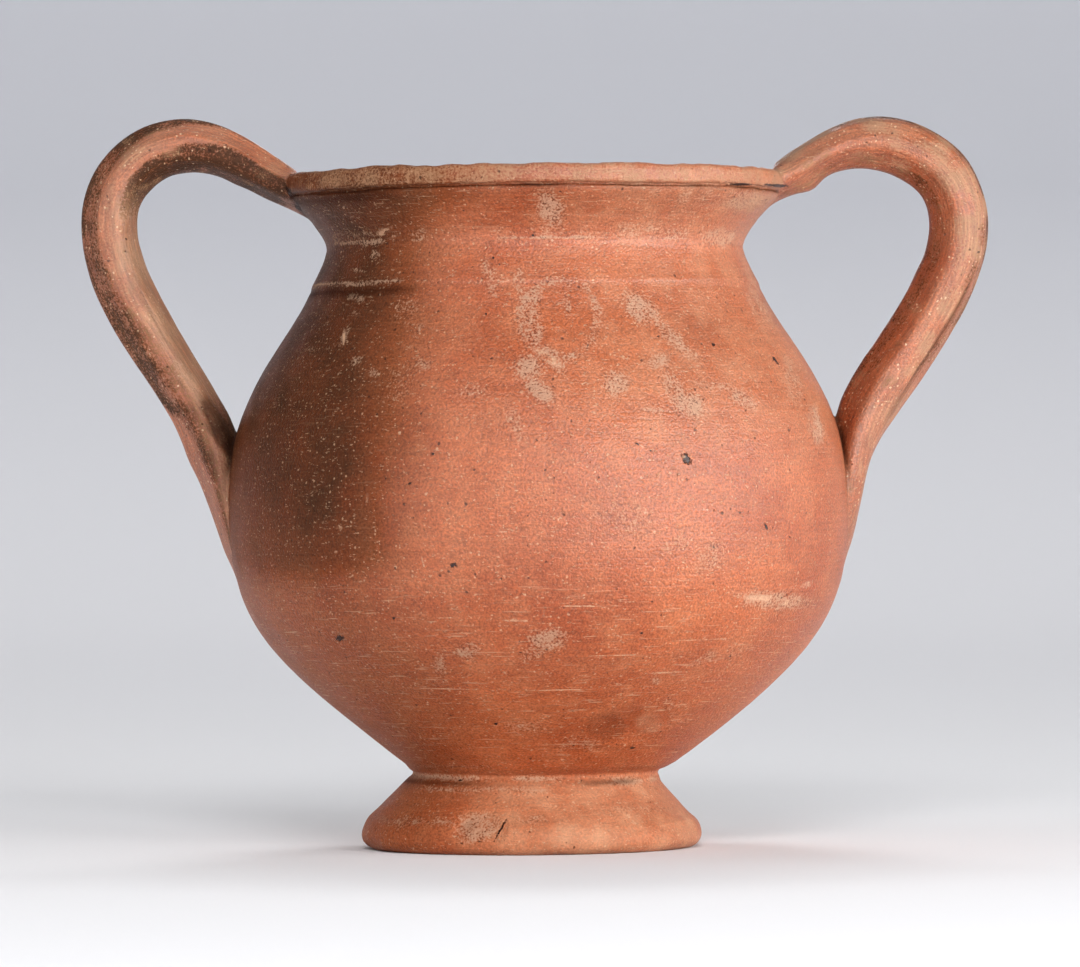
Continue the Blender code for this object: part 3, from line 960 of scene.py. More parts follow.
# the right rod: painted shade on its inner side and on its outer side, and a thin dark edge
inner_side_shade = along_rod((0, 0.5), (30, 0.8), (60, 0.9), (110, 0.75), (130, 0.9))
inner_side_shade *= 0.62 * soft_step(-0.30, -0.62, outer_side + ragged)
right_shade = 0.54 * soft_step(0.25, 0.8, outer_side + 2 * ragged) * soft_step(30, 48, way)
right_shade *= soft_step(104, 86, way)
thin_edge = 0.85 * soft_step(0.84, 0.95, outer_side) * soft_step(8, 16, way) * soft_step(96, 78, way)
stains = 0.42 * soft_step(0.58, 0.78, spotted)
soot_and_shade_right = strongest(inner_side_shade, right_shade, thin_edge, stains) * (0.62 + 0.5 * mottled)
soot = np.where(left_rod, soot_and_shade_left, 0) + np.where(right_rod, soot_and_shade_right, 0)
soot = np.clip(np.where(y > 0, 0.85 * soot, soot), 0, 1)
print("soot on %d points" % (soot > 0.4).sum())

# %% [markdown]
# Pale dust of dried soil keeps to the faces that looked up in the ground. It is a band on each rod,
# some single patches, and the top of the lip. Where it is thick it hides the soot and painted shade
# below it.

# %% Dust
DUSTY_PLACES = (
    # across, height, half length, half width in mm, tilt in degrees, strength
    (-80.6, 138.7, 4.6, 2.2, 42, 0.95),
    (-72.8, 139.4, 2.2, 1.3, 10, 0.85),
    (-84.4, 132.0, 1.6, 1.0, 60, 0.80),
    (-65.6, 144.1, 6.5, 0.45, -7, 0.95),
    (-76.0, 143.6, 4.0, 0.5, 22, 0.70),
    (-84.9, 112.8, 1.0, 1.6, 0, 0.60),
    (-55.0, 135.0, 3.0, 1.0, -34, 0.60),
    (63.5, 89.5, 1.6, 6.0, -28, 0.60),
)
dust_left = strongest(
    0.60 * soft_step(0.45, 0.05, outer_side) * soft_step(46, 58, way) * (0.55 + 0.8 * mottled),
    0.6 * soft_step(0.60, 0.76, spotted) * soft_step(85, 60, way),
    0.5 * soft_step(28, 18, way) * soft_step(-0.2, 0.3, outer_side),
)
dust_edge = along_rod((15, -0.05), (45, -0.28), (70, -0.12), (90, 0.22), (110, 0.30))
dust_outer = soft_step(-0.10, 0.14, outer_side - dust_edge) * along_rod((70, 0.95), (100, 0.62), (140, 0.60))
dust_arch = 0.66 * soft_step(6, 16, way) * soft_step(74, 56, way) * (0.5 + 0.8 * mottled)
dust_right = strongest(dust_outer * (0.72 + 0.45 * mottled), dust_arch)
dust_right *= soft_step(0.72, 0.52, 0.6 * spotted + 0.3)
dust_right = strongest(dust_right, 0.55 * soft_step(0.62, 0.78, spotted))
dust = np.where(left_rod, dust_left, 0) + np.where(right_rod, dust_right, 0)
dust = np.maximum(dust, is_handle * to_front * painted(across, level, DUSTY_PLACES))
soot = np.where(dust > 0.75, 0.5 * soot, soot)
lip_band = soft_step(lip_low - 0.2, lip_low + 0.8, z) * ~is_handle * ~in_mouth
lip_band *= 1 - 0.75 * soft_step(-43.5, -47.5, across + 4 * (crumbly - 0.5))
dust = np.clip(np.maximum(dust, lip_band * (0.36 + 0.54 * crumbly)), 0, 1)
print("dust on %d points" % (dust > 0.4).sum())

# %% [markdown]
# Dark lines are painted shade where the wall is overhung or folds in: under the lip and on the band
# below it, below the ridge of the shoulder, in the clefts, cracks and grooves of the handles and in the
# dent. In the seam above the foot and along its bottom edge they are darker lines. Each is a thin hill
# at one height or place, broken up by noise, and where several meet the strongest one shows.

# %% Dark lines
speckled = 0.45 + 0.7 * crumbly
under_lip = bump_round(z, lip_low - 0.1 - 0.5 * bump_round(across, -38, 9), 0.38)
below_ridge = bump_round(z, 110.6 + 0.3 * lumps(points, 11, 51.0), 0.9)
grey_band = bump_round(z, 128.9 + 0.4 * lumps(points, 9, 52.0), 1.1) * soft_step(-26, -32, across)
crevice_turn = np.arctan2(-y / 6.7, outer_side)
crevice_right = bump_round(crevice_turn, math.radians(40), 0.10) * soft_step(110, 98, way)
crevice_left = bump_round(crevice_turn, math.radians(116), 0.06) * soft_step(104, 92, way)
dent_shadow = soft_step(0, 0.35, patch(across, level, (13.2, 23.9), (4.9, 3.6), 0))
wedge = soft_step(0.0, 0.35, patch(across, level, (-64.0, 84.6), (8.0, 2.3), -65))
# painted shade under the lip, below the ridge, in clefts, cracks and grooves and in the dent; darker lines in
# the foot's seam
dark_line = strongest(
    0.95 * under_lip * on_wall * (0.45 + 0.9 * patchy),
    0.85 * below_ridge * on_wall * np.where(y < 0, soft_step(-20, -30, across), 0.3),
    0.75 * bump_round(z, 13.7, 0.55) * outside * soft_step(0.35, 0.6, drifting),
    0.40 * bump_round(z, 16.4, 0.5) * outside * patchy,
    0.50 * bump_round(z, 0.5, 0.7) * outside * patchy,
    0.98 * soft_step(1.9, 0.4, from_seam) * np.clip(cleft + left_root, 0, 1),
    0.85 * crevice_right * soft_step(66, 76, way) * right_rod,
    0.30 * crevice_left * soft_step(66, 76, way) * left_rod,
    0.60 * grey_band * on_wall * to_front,
    0.42 * dent_shadow * to_front * speckled,
    np.clip(1.4 * wedge * to_front * speckled, 0, 1) * left_rod,
)
print("dark lines on %d points" % (dark_line > 0.4).sum())

# %% [markdown]
# Two more fields are soft. The low belly was rubbed by hands and by what it stood beside. Bloom is
# a thin film of lime; above 1 it is thick enough to turn the clay pale, as on the foot. The same field
# also paints light: a pale inner face on the left handle and a highlight beside the dent.

# %% Rubbing, bloom and painted light
rubbed = 0.15 + soft_step(58, 46, z) * soft_step(15, 22, z) * (0.35 + 0.9 * patchy)
rubbed = np.clip(rubbed + 0.5 * soft_step(118, 128, z), 0, 1) * on_wall

bloom = strongest(
    soft_step(-4, 26, across) * soft_step(70, 92, level) * (0.7 + 0.6 * patchy),
    soft_step(-22, 0, across) * soft_step(17, 11, level) * (1.6 + 1.3 * patchy),
    # painted highlight on the raised edge beside the dent
    1.4 * soft_step(0.1, 0.5, patch(across, level, (21.8, 24.6), (3.7, 2.8), 0)),
    2.8 * soft_step(0.05, 0.5, patch(across, level, (16.4, 4.4), (6.4, 3.4), 4)),
)
bloom = np.clip(bloom * to_front + 0.4 * (1 - to_front), 0, 3) * on_wall
# painted light: a pale inner face on the left handle
painted_light_inner = soft_step(0.20, -0.35, outer_side) * soft_step(44, 60, way) * soft_step(112, 98, way)
bloom = np.where(left_rod, np.maximum(3.6 * painted_light_inner, 1.0) * (0.55 + 0.6 * mottled), bloom)
bloom = np.where(right_rod, 1.1 * (0.5 + 0.8 * mottled) * soft_step(-0.5, 0.0, outer_side), bloom)
print("bloom: mean %.2f, most %.2f" % (bloom.mean(), bloom.max()))

# %% [markdown]
# The fields go onto the mesh as point attributes, one number for each point. The material finds
# them by name, and they travel with the mesh wherever it is used.

# %% Store the fields
FIELDS = {
    "bloom": bloom,
    "rubbed": rubbed,
    "crust": crust,
    "smoke": smoke,
    "soot": soot,
    "dust": dust,
    "dark_line": dark_line,
    "rod": is_handle.astype(float),
}
for name, values in FIELDS.items():
    field = vessel.data.attributes.new(name, "FLOAT", "POINT")
    field.data.foreach_set("value", np.ascontiguousarray(values, np.float32))
vessel.data.polygons.foreach_set("use_smooth", np.ones(len(vessel.data.polygons), bool))
triangles = sum(len(face.vertices) - 2 for face in vessel.data.polygons)
print("skin: %d triangles, fields %s" % (triangles, ", ".join(FIELDS)))

# %% [markdown]
# ## Single scratches and pits
# The skin's points are 1 mm apart, too far for a scratch of 0.3 mm. But a straight scale along and
# across a scratch runs evenly from point to point, so the mesh can carry that instead: each point
# stores where it lies in the oval of its nearest mark, and the material works out the distance.

# %% Scratches and pits
SCRATCHES = (
    # across, height, half length, half width in mm, tilt in degrees
    (-30.0, 123.2, 2.0, 0.95, 8),
    (-29.2, 122.5, 1.3, 0.5, -15),
    (-3.4, 45.3, 4.0, 0.28, -2),
    (1.0, 47.1, 1.4, 0.24, 88),
    (8.4, 48.1, 5.2, 0.18, -1),
    (25.3, 34.7, 4.6, 0.20, 2),
    (2.2, 97.8, 3.5, 0.95, -33),
    (-7.6, 63.1, 1.4, 0.22, 0),
    (-23.1, 57.1, 1.4, 0.20, -75),
    (45.6, 49.4, 5.4, 0.75, -2),
    (49.4, 48.6, 4.2, 0.65, 2),
    (53.2, 51.6, 1.9, 0.75, 38),
    (-39.8, 64.1, 0.75, 0.65, 20),
    (-40.5, 59.3, 0.40, 0.35, 0),
    (-22.4, 70.8, 0.45, 0.32, 0),
    (-20.1, 79.8, 0.40, 0.30, 0),
    (-27.6, 83.0, 0.45, 0.34, 60),
    (29.2, 77.8, 0.42, 0.36, 0),
    (20.9, 79.9, 0.55, 0.20, -35),
    (-38.6, 102.3, 0.35, 1.70, 0),
    (-34.2, 70.1, 0.30, 1.00, -8),
    (14.6, 38.2, 6.0, 0.14, 1),
    (-19.4, 31.8, 7.5, 0.13, -2),
    (4.8, 31.4, 9.0, 0.12, 1),
    (32.6, 41.2, 6.0, 0.14, 2),
)
PITS = (
    (29.8, 77.4, 1.30, 0.90, -65),
    (-17.1, 56.5, 0.75, 0.55, 0),
    (-39.9, 42.1, 0.85, 0.70, 0),
    (-29.0, 46.0, 0.36, 0.30, 0),
    (20.6, 42.6, 0.40, 0.26, 20),
    (-8.6, 117.9, 0.30, 0.26, 0),
    (-10.1, 106.7, 0.30, 0.26, 0),
    (-0.6, 122.3, 0.30, 0.24, 0),
    (35.3, 100.2, 0.55, 0.28, -50),
    (47.6, 97.0, 1.00, 0.24, -52),
    (45.5, 63.8, 0.95, 0.26, -60),
    (20.0, 80.4, 0.70, 0.16, -35),
    (22.4, 79.2, 0.60, 0.16, -30),
    (18.5, 19.7, 0.48, 0.20, 8),
    (-16.0, 13.5, 0.34, 0.22, 0),
    (-8.8, 24.7, 0.36, 0.30, 0),
    (-20.9, 78.8, 0.32, 0.26, 0),
    (-25.6, 73.0, 0.40, 0.26, 40),
    (-49.2, 131.2, 2.0, 0.42, -62),
    (-47.6, 128.2, 2.2, 0.55, -68),
    (-8.0, 3.6, 2.6, 0.25, 60),
    (48.2, 131.9, 2.8, 0.34, -4),
    (41.0, 132.2, 2.2, 0.26, 0),
)
MARKS = {"scratch": SCRATCHES, "pit": PITS}
print("%d scratches and %d pits" % (len(SCRATCHES), len(PITS)))

# %% [markdown]
# Where two marks are close, an edge of the mesh may run from one mark's oval to the other's, and
# the values between would be nonsense. The third number is 0 there, and the mark isn't drawn.

# %% Places in the marks

def own_places(marks):
    """Each point's place in the oval of its nearest mark, and 1 where that can be trusted."""
    nearest = np.full(len(points), 1e9)
    which = np.full(len(points), -1)
    own = np.full((len(points), 3), 9.0)
    own[:, 2] = 0
    for number, (place_x, place_z, long_way, short_way, tilt) in enumerate(marks):
        turn_of_mark = math.radians(tilt)
        right = across - place_x
        up = level - place_z
        u = (right * math.cos(turn_of_mark) + up * math.sin(turn_of_mark)) / long_way
        v = (up * math.cos(turn_of_mark) - right * math.sin(turn_of_mark)) / short_way
        reach = np.hypot(u * long_way / (long_way + 1.8), v * short_way / (short_way + 1.8))
        closer = (reach < 1.0) & (reach < nearest) & (to_front > 0.5) & outside
        nearest[closer] = reach[closer]
        which[closer] = number
        own[closer] = np.stack([u[closer], v[closer], np.ones(closer.sum())], 1)
    first, second = links.T
    mixed = (which[first] != which[second]) & (which[first] >= 0) & (which[second] >= 0)
    own[np.r_[first[mixed], second[mixed]], 2] = 0
    return own


for name, marks in MARKS.items():
    places = vessel.data.attributes.new(name, "FLOAT_VECTOR", "POINT")
    places.data.foreach_set("vector", own_places(marks).astype(np.float32).ravel())
places = vessel.data.attributes.new("rod_place", "FLOAT_VECTOR", "POINT")
places.data.foreach_set("vector", rod_place.astype(np.float32).ravel())
print("stored places for %s and for the rods" % " and ".join(MARKS))

# %% [markdown]
# ## Terracotta, wheel-thrown and fired
# The body is low-fired earthenware: iron-rich clay with sand and a little lime, burnt orange-red
# in an open kiln and blackened where smoke reached it. Up close it is matt and finely grainy,
# with pale lime specks, dark pores and scratches that follow the wheel. Colours are written as
# sRGB hex, as a colour picker shows them, and one function turns them into linear light.

# %% Colour and node helpers
def linear(hex_colour):
    """Linear colour from sRGB hex."""
    parts = [int(hex_colour[k : k + 2], 16) / 255 for k in (1, 3, 5)]
    return [part / 12.92 if part <= 0.04045 else ((part + 0.055) / 1.055) ** 2.4 for part in parts] + [1]


CHOICE = {"Math": "operation", "VectorMath": "operation", "Mix": "data_type", "Attribute": "attribute_name"}


def new_material(name):
    """An empty material, and the function that adds a node to it."""
    material = bpy.data.materials.new(name)
    material.use_nodes = True
    tree = material.node_tree
    tree.nodes.clear()

    def add(kind, links=None, out=0, **settings):
        """Add a node such as "Math ADD", fill or connect its inputs, and return one output."""
        kind, _, choice = kind.partition(" ")
        node = tree.nodes.new("ShaderNode" + kind)
        if choice:
            settings[CHOICE[kind]] = choice
        for name, value in settings.items():
            setattr(node, name, value)
        for name, value in (links or {}).items():
            if isinstance(value, bpy.types.NodeSocket):
                tree.links.new(value, node.inputs[name])
            else:
                node.inputs[name].default_value = value
        return node.outputs[out] if len(node.outputs) else node

    return material, add


print("linear value of mid grey #808080: %.3f" % linear("#808080")[0])

# %% [markdown]
# The palette is read off the real thing: fired earthenware between brick and orange, lime, soot
# brown (never black, because the red clay shines through) and the grey beige of dried soil. The soot
# brown, the smoke and the dark of the pores also paint shade. All patterns take their place from the
# object's own coordinates in millimetres.

# %% Clay colours
CLAY_DEEP = linear("#9B4927")
CLAY = linear("#B56139")
CLAY_PALE = linear("#C47C54")
LIME = linear("#D9B08C")
PORE_AND_SHADE = linear("#33180F")
SMOKE_AND_SHADE = linear("#3A200E")
SOOT_AND_SHADE = linear("#3B2516")
DUST = linear("#A87E5E")
SOIL = linear("#B8957A")
BARE = linear("#D3A583")

terracotta, add = new_material("terracotta_earthenware_wheel_thrown_fired")
place = add("TexCoord", out="Object")
in_mm = add("VectorMath SCALE", {0: place, "Scale": 1 / MM})


def tell(step):
    """Say how many nodes the clay has after one step."""
    print("clay with %s: %d nodes" % (step, len(terracotta.node_tree.nodes)))


field = {}
for name in FIELDS:
    field[name] = add("Attribute " + name, out="Fac")
tell("its fields")

# %% [markdown]
# Noise of several sizes tints the clay: clouds of 30 mm from the kiln, blotches of 6 mm, and sand.
# Real sand in such clay is 0.1 to 0.5 mm. One pixel of this picture is 0.2 mm, so the sand is
# drawn at 0.45 mm, the finest that still shows as grains and not as a flat average.

# %% Clay tint
NOISES = {
    "cloud": (30.0, 2.0, 0.55),
    "blotch": (6.0, 3.0, 0.60),
    "crumb": (3.0, 4.0, 0.78),
    "sand": (0.45, 1.0, 0.60),
}
texture = {}
for name, (size, detail, roughness) in NOISES.items():
    settings = {"Scale": 1 / size, "Detail": detail, "Roughness": roughness}
    texture[name] = add("TexNoise", {"Vector": in_mm, **settings})

# turns per mm along x, y and z: small along the streak, large across it
WHEEL_STREAKS = (0.05, 0.05, 1.1)
ROD_STREAKS = (1.9, 1.9, 0.15)
stretched = add("VectorMath MULTIPLY", {0: in_mm, 1: WHEEL_STREAKS})
rod_mm = add("Attribute rod_place", out="Vector")
rod_mm = add("VectorMath MULTIPLY", {0: rod_mm, 1: ROD_STREAKS})
lengthwise = add("Mix VECTOR", {0: field["rod"], 4: stretched, 5: rod_mm}, 1)
streaks = add("TexNoise", {"Vector": lengthwise, "Scale": 1.0, "Detail": 3.0, "Roughness": 0.7})

cloud_step = add("MapRange", {0: texture["cloud"], 1: 0.30, 2: 0.72})
blotch_step = add("MapRange", {0: texture["blotch"], 1: 0.40, 2: 0.74})
colour = add("Mix RGBA", {0: cloud_step, 6: CLAY, 7: CLAY_DEEP}, 2)
half_blotch = add("Math MULTIPLY", {0: blotch_step, 1: 0.40})
colour = add("Mix RGBA", {0: half_blotch, 6: colour, 7: CLAY_PALE}, 2)
tell("its tint")

# %% [markdown]
# Smoke went into the clay in the kiln and only stains it, so it comes before the grain. Its edge
# is soft over 10 mm or more. The same stain paints the shade on the neck under the lip.

# %% Smoke stain and painted shade
smoke_uneven = add("MapRange", {0: texture["blotch"], 1: 0.30, 2: 0.70, 3: 0.84, 4: 1.02})
smoke_and_shade_shown = add("Math MULTIPLY", {0: field["smoke"], 1: smoke_uneven}, use_clamp=True)
colour = add("Mix RGBA", {0: smoke_and_shade_shown, 6: colour, 7: SMOKE_AND_SHADE}, 2)

streak_step = add("MapRange", {0: streaks, 1: 0.30, 2: 0.70, 3: 0.90, 4: 1.09})
sand_step = add("MapRange", {0: texture["sand"], 1: 0.28, 2: 0.72, 3: 0.66, 4: 1.34})
value = add("Math MULTIPLY", {0: streak_step, 1: sand_step})
rod_tone = add("MapRange", {0: field["rod"], 1: 0.0, 2: 1.0, 3: 1.0, 4: 0.86})
value = add("Math MULTIPLY", {0: value, 1: rod_tone})
colour = add("VectorMath SCALE", {0: colour, "Scale": value})
tell("smoke")

# %% [markdown]
# Specks and pores are cells of a Voronoi pattern: one cell per grain. Only the cells whose random
# number is high enough show, so they lie scattered and not in a grid. Each kind has its spacing,
# its size as a share of that, and the share of cells that stay empty.

# %% Specks and pores
GRAINS = {
    "lime": (0.80, 0.34, 0.62),
    "lime_big": (3.4, 0.11, 0.62),
    "pore": (1.7, 0.20, 0.66),
}
dots = {}
bent = add("TexNoise", {"Vector": in_mm, "Scale": 1.9, "Detail": 0.0}, "Color")
for name, (spacing, size, empty) in GRAINS.items():
    wobble = (1.2 * size * spacing,) * 3
    moved = add("VectorMath MULTIPLY_ADD", {0: bent, 1: wobble, 2: in_mm})
    cells = add("TexVoronoi", {"Vector": moved, "Scale": 1 / spacing}).node
    pick = add("SeparateColor", {0: cells.outputs["Color"]})
    chosen = add("MapRange", {0: pick, 1: empty, 2: 1.0, 3: 0.0, 4: size})
    inner = add("Math SUBTRACT", {0: chosen, 1: cells.outputs["Distance"]})
    dots[name] = add("MapRange", {0: inner, 1: 0.0, 2: 0.30 * size})
lime = add("Math MAXIMUM", {0: dots["lime"], 1: dots["lime_big"]})
lime_bright = add("MapRange", {0: field["rod"], 1: 0.0, 2: 1.0, 3: 0.50, 4: 0.92})
lime_shown = add("Math MULTIPLY", {0: lime, 1: lime_bright})
colour = add("Mix RGBA", {0: lime_shown, 6: colour, 7: LIME}, 2)
tell("specks and pores")

# %% [markdown]
# Below the belly the wall was scraped on the wheel and later rubbed on things it stood beside:
# many thin pale lines run round it. They are noise, 20 times longer than high, cut at its peaks,
# and where the wall was only brushed against something, short ticks of the same kind.

# %% Fine scratches
LONG_LINES = (0.16, 0.16, 3.2)
SHORT_TICKS = (0.85, 0.85, 2.3)
LINE_STRENGTH = 0.55
around_mm = add("VectorMath MULTIPLY", {0: in_mm, 1: LONG_LINES})
lines = add("TexNoise", {"Vector": around_mm, "Scale": 1.0, "Detail": 2.0, "Roughness": 0.6})
lines = add("MapRange", {0: lines, 1: 0.62, 2: 0.72})
lines = add("Math MULTIPLY", {0: lines, 1: field["rubbed"]})
lines = add("Math MULTIPLY", {0: lines, 1: LINE_STRENGTH})
short_mm = add("VectorMath MULTIPLY", {0: in_mm, 1: SHORT_TICKS})
ticks = add("TexNoise", {"Vector": short_mm, "Scale": 1.0, "Detail": 2.0, "Roughness": 0.7})
ticks = add("MapRange", {0: ticks, 1: 0.63, 2: 0.70, 3: 0.0, 4: 0.50})
ticks = add("Math MAXIMUM", {0: ticks, 1: lines})
colour = add("Mix RGBA", {0: ticks, 6: colour, 7: LIME}, 2)
tell("fine scratches")

# %% [markdown]
# Bloom is the thinnest coat: a film of lime and fine soil that dulls the clay without hiding it.
# It lies on the right shoulder, on the foot and on the handles. The same coat paints light on the
# inner face of the left handle and a highlight beside the dent.

# %% Bloom and painted light
thickness = add("MapRange", {0: texture["blotch"], 1: 0.40, 2: 0.74, 3: 0.09, 4: 0.19})
film = add("Math MULTIPLY", {0: field["bloom"], 1: thickness})
colour = add("Mix RGBA", {0: film, 6: colour, 7: LIME}, 2)
tell("bloom")

# %% [markdown]
# Soot, dust and soil came later and cover the clay; the soot coat also carries painted shade on the
# handles. Close up, none of them is a clean film: soil stays between the grains of sand, so its
# patches are a dense speckle with clay showing through.

# %% Later coats
COATS = (
    # field, raggedness, grain, where it starts and is full, colour, strength
    # the first coat is soot together with the painted shade of the handles
    ("soot", 1.10, 1.50, 0.36, 0.86, SOOT_AND_SHADE, 0.92),
    ("dust", 1.10, 1.70, 0.38, 0.98, DUST, 0.85),
    ("crust", 1.90, 2.60, 0.52, 1.04, SOIL, 0.66),
)
grain = add("Math SUBTRACT", {0: texture["sand"], 1: 0.5})
crumbs = add("Math SUBTRACT", {0: texture["crumb"], 1: 0.5})
shown = {}
for name, ragged, grainy, first, full, tint, strength in COATS:
    amount = add("Math MULTIPLY_ADD", {0: crumbs, 1: ragged, 2: field[name]})
    amount = add("Math MULTIPLY_ADD", {0: grain, 1: grainy, 2: amount})
    spread = add("MapRange", {0: amount, 1: first, 2: full, 3: 0.0, 4: strength})
    present = add("MapRange", {0: field[name], 1: 0.03, 2: 0.25})
    shown[name] = add("Math MULTIPLY", {0: spread, 1: present})
    colour = add("Mix RGBA", {0: shown[name], 6: colour, 7: tint}, 2)
tell("soot, dust and soil")

# %% [markdown]
# Three things show through the coats: dark gaps between crumbs of soil, the streaks along the
# rods, and their lime specks, which stand up and are rubbed clean. Dark lines, most of them painted
# shade, lie over all of it.

# %% Through the coats
gaps = add("MapRange", {0: texture["sand"], 1: 0.40, 2: 0.34})
gaps = add("Math MULTIPLY", {0: gaps, 1: field["crust"]}, use_clamp=True)
gaps = add("Math MULTIPLY", {0: gaps, 1: 0.55})
colour = add("Mix RGBA", {0: gaps, 6: colour, 7: PORE_AND_SHADE}, 2)
drawn_out = add("MapRange", {0: streaks, 1: 0.36, 2: 0.64, 3: 0.82, 4: 1.22})
rod_lines = add("Mix", {0: field["rod"], 2: 1.0, 3: drawn_out})
colour = add("VectorMath SCALE", {0: colour, "Scale": rod_lines})
lime_through = add("Math MULTIPLY", {0: lime, 1: field["rod"]})
lime_through = add("Math MULTIPLY", {0: lime_through, 1: 0.62})
colour = add("Mix RGBA", {0: lime_through, 6: colour, 7: LIME}, 2)
# dark lines, mostly painted shade, drawn in the dark of the pores
line_shown = add("Math MULTIPLY", {0: field["dark_line"], 1: 0.85})
colour = add("Mix RGBA", {0: line_shown, 6: colour, 7: PORE_AND_SHADE}, 2)
tell("gaps and dark lines")

# %% [markdown]
# The single marks were stored as places in each mark's own oval, so the distance from that oval's
# middle is 1 at its edge. Noise on the distance makes the edge ragged.

# %% Marks in the material
found = {}
for name in MARKS:
    own = add("Attribute " + name, out="Vector")
    flat = add("VectorMath MULTIPLY", {0: own, 1: (1, 1, 0)})
    away = add("VectorMath LENGTH", {0: flat}, "Value")
    torn = add("Math MULTIPLY_ADD", {0: texture["sand"], 1: 1.5, 2: away})
    torn = add("Math MULTIPLY_ADD", {0: texture["crumb"], 1: 1.0, 2: torn})
    whole = add("MapRange", {0: torn, 1: 2.25, 2: 1.85})
    sure = add("SeparateXYZ", {0: own}, "Z")
    sure = add("Math GREATER_THAN", {0: sure, 1: 0.98})
    found[name] = add("Math MULTIPLY", {0: whole, 1: sure})
scratch, pit = found["scratch"], found["pit"]
pores_faint = add("Math MULTIPLY", {0: dots["pore"], 1: 0.70})
pores_shown = add("Math MAXIMUM", {0: pores_faint, 1: pit})
colour = add("Mix RGBA", {0: pores_shown, 6: colour, 7: PORE_AND_SHADE}, 2)
kept = add("MapRange", {0: texture["crumb"], 1: 0.40, 2: 0.54, 3: 0.10, 4: 0.80})
scratch_shown = add("Math MULTIPLY", {0: scratch, 1: kept})
colour = add("Mix RGBA", {0: scratch_shown, 6: colour, 7: BARE}, 2)
tell("single marks")

# %% [markdown]
# The same masks drive the bump, in millimetres: sand stands up, pores and pits go in. Soil and
# dust are matt; the smoothed clay between keeps a faint sheen.

# %% Bump and sheen
HEIGHTS = (
    (texture["sand"], 0.19),
    (ticks, 0.12),
    (streaks, 0.14),
    (dots["pore"], -0.20),
    (pit, -0.50),
)
height_all = add("Math MULTIPLY", {0: HEIGHTS[0][0], 1: HEIGHTS[0][1]})
for socket, amount in HEIGHTS[1:]:
    height_all = add("Math MULTIPLY_ADD", {0: socket, 1: amount, 2: height_all})
GRAIN_HEIGHT = MM
bump = add("Bump", {"Height": height_all, "Strength": 1.0, "Distance": GRAIN_HEIGHT})

rough_smooth = add("MapRange", {0: texture["blotch"], 1: 0.3, 2: 0.7, 3: 0.37, 4: 0.49})
rough_crust = add("Mix", {0: shown["crust"], 2: rough_smooth, 3: 0.92})
rough_all = add("Mix", {0: shown["dust"], 2: rough_crust, 3: 0.80})
upright = add("SeparateXYZ", {0: in_mm}, "Z")
smoothed = add("MapRange", {0: upright, 1: 28.0, 2: 62.0, 3: 0.12, 4: 0.70})
unsmoked_unshaded = add("MapRange", {0: smoke_and_shade_shown, 1: 0.0, 2: 0.5, 3: 1.0, 4: 0.15})
sheen = add("Math MULTIPLY", {0: smoothed, 1: unsmoked_unshaded})
darkened = add("Math MAXIMUM", {0: shown["soot"], 1: line_shown})
unsooted_unshaded = add("MapRange", {0: darkened, 1: 0.0, 2: 0.6, 3: 1.0, 4: 0.2})
sheen = add("Math MULTIPLY", {0: sheen, 1: unsooted_unshaded})
coat = {"Roughness": rough_all, "IOR": 1.50, "Specular IOR Level": sheen}
clay_shader = add("BsdfPrincipled", {"Base Color": colour, "Normal": bump, **coat})
add("OutputMaterial", {"Surface": clay_shader})
vessel.data.materials.clear()
vessel.data.materials.append(terracotta)
tell("bump and sheen")

vessel.name = "fired_vessel"
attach(vessel, "root")
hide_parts(NODE)

# %% [markdown]
# ## The studio
# A sheet of pale paper curves up behind the cup, so no horizon shows. It is turned up all round like
# a shallow dish, so a camera on any side has paper behind the cup. Its wall is no higher than a
# level camera sees, because a higher one only throws light back and forth. The paper is a little
# darker toward its wall, as the ground in the picture is: painted shade of the light falling off.

# %% Paper sweep
PAPER_FLAT = 1.6
PAPER_TURN = 0.8
PAPER_TOP = 1.0
SPOKES = 96
profile = [(0.25, 0.0), (0.7, 0.0), (1.2, 0.0), (PAPER_FLAT, 0.0)]
for angle in np.radians(np.arange(10, 91, 10)):
    profile.append((PAPER_FLAT + PAPER_TURN * math.sin(angle), PAPER_TURN * (1 - math.cos(angle))))
profile.append((PAPER_FLAT + PAPER_TURN, PAPER_TOP))
spokes = np.radians(np.arange(SPOKES) * 360 / SPOKES)
paper_points = [(0.0, 0.0, 0.0)]
paper_points += [(r * math.cos(turn), r * math.sin(turn), up) for r, up in profile for turn in spokes]
paper_faces = [(0, 1 + k, 1 + (k + 1) % SPOKES) for k in range(SPOKES)]
for row in range(len(profile) - 1):
    paper_faces += ring_faces(1 + (row + 1) * SPOKES, 1 + row * SPOKES, SPOKES).tolist()
paper = new_mesh("paper_sweep", np.array(paper_points) / MM, paper_faces)
paper.data.polygons.foreach_set("use_smooth", [True] * len(paper_faces))
paper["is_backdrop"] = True
print("paper: %d faces, %.1f m across, wall %.1f m high" % (len(paper_faces), 2 * profile[-1][0], PAPER_TOP))

# %% [markdown]
# The paper is matt and almost white. Its two tints differ so little that nobody sees a step, only
# a ground that is lighter in front of the cup than behind it. The darker grey of its wall is painted
# shade.

# %% Paper
PAPER_NEAR = linear("#D6D6D8")
PAPER_FAR = linear("#D8D8DB")
PAPER_WALL_SHADE = linear("#B6B7BD")
WALL_FROM_HEIGHT = 0.22

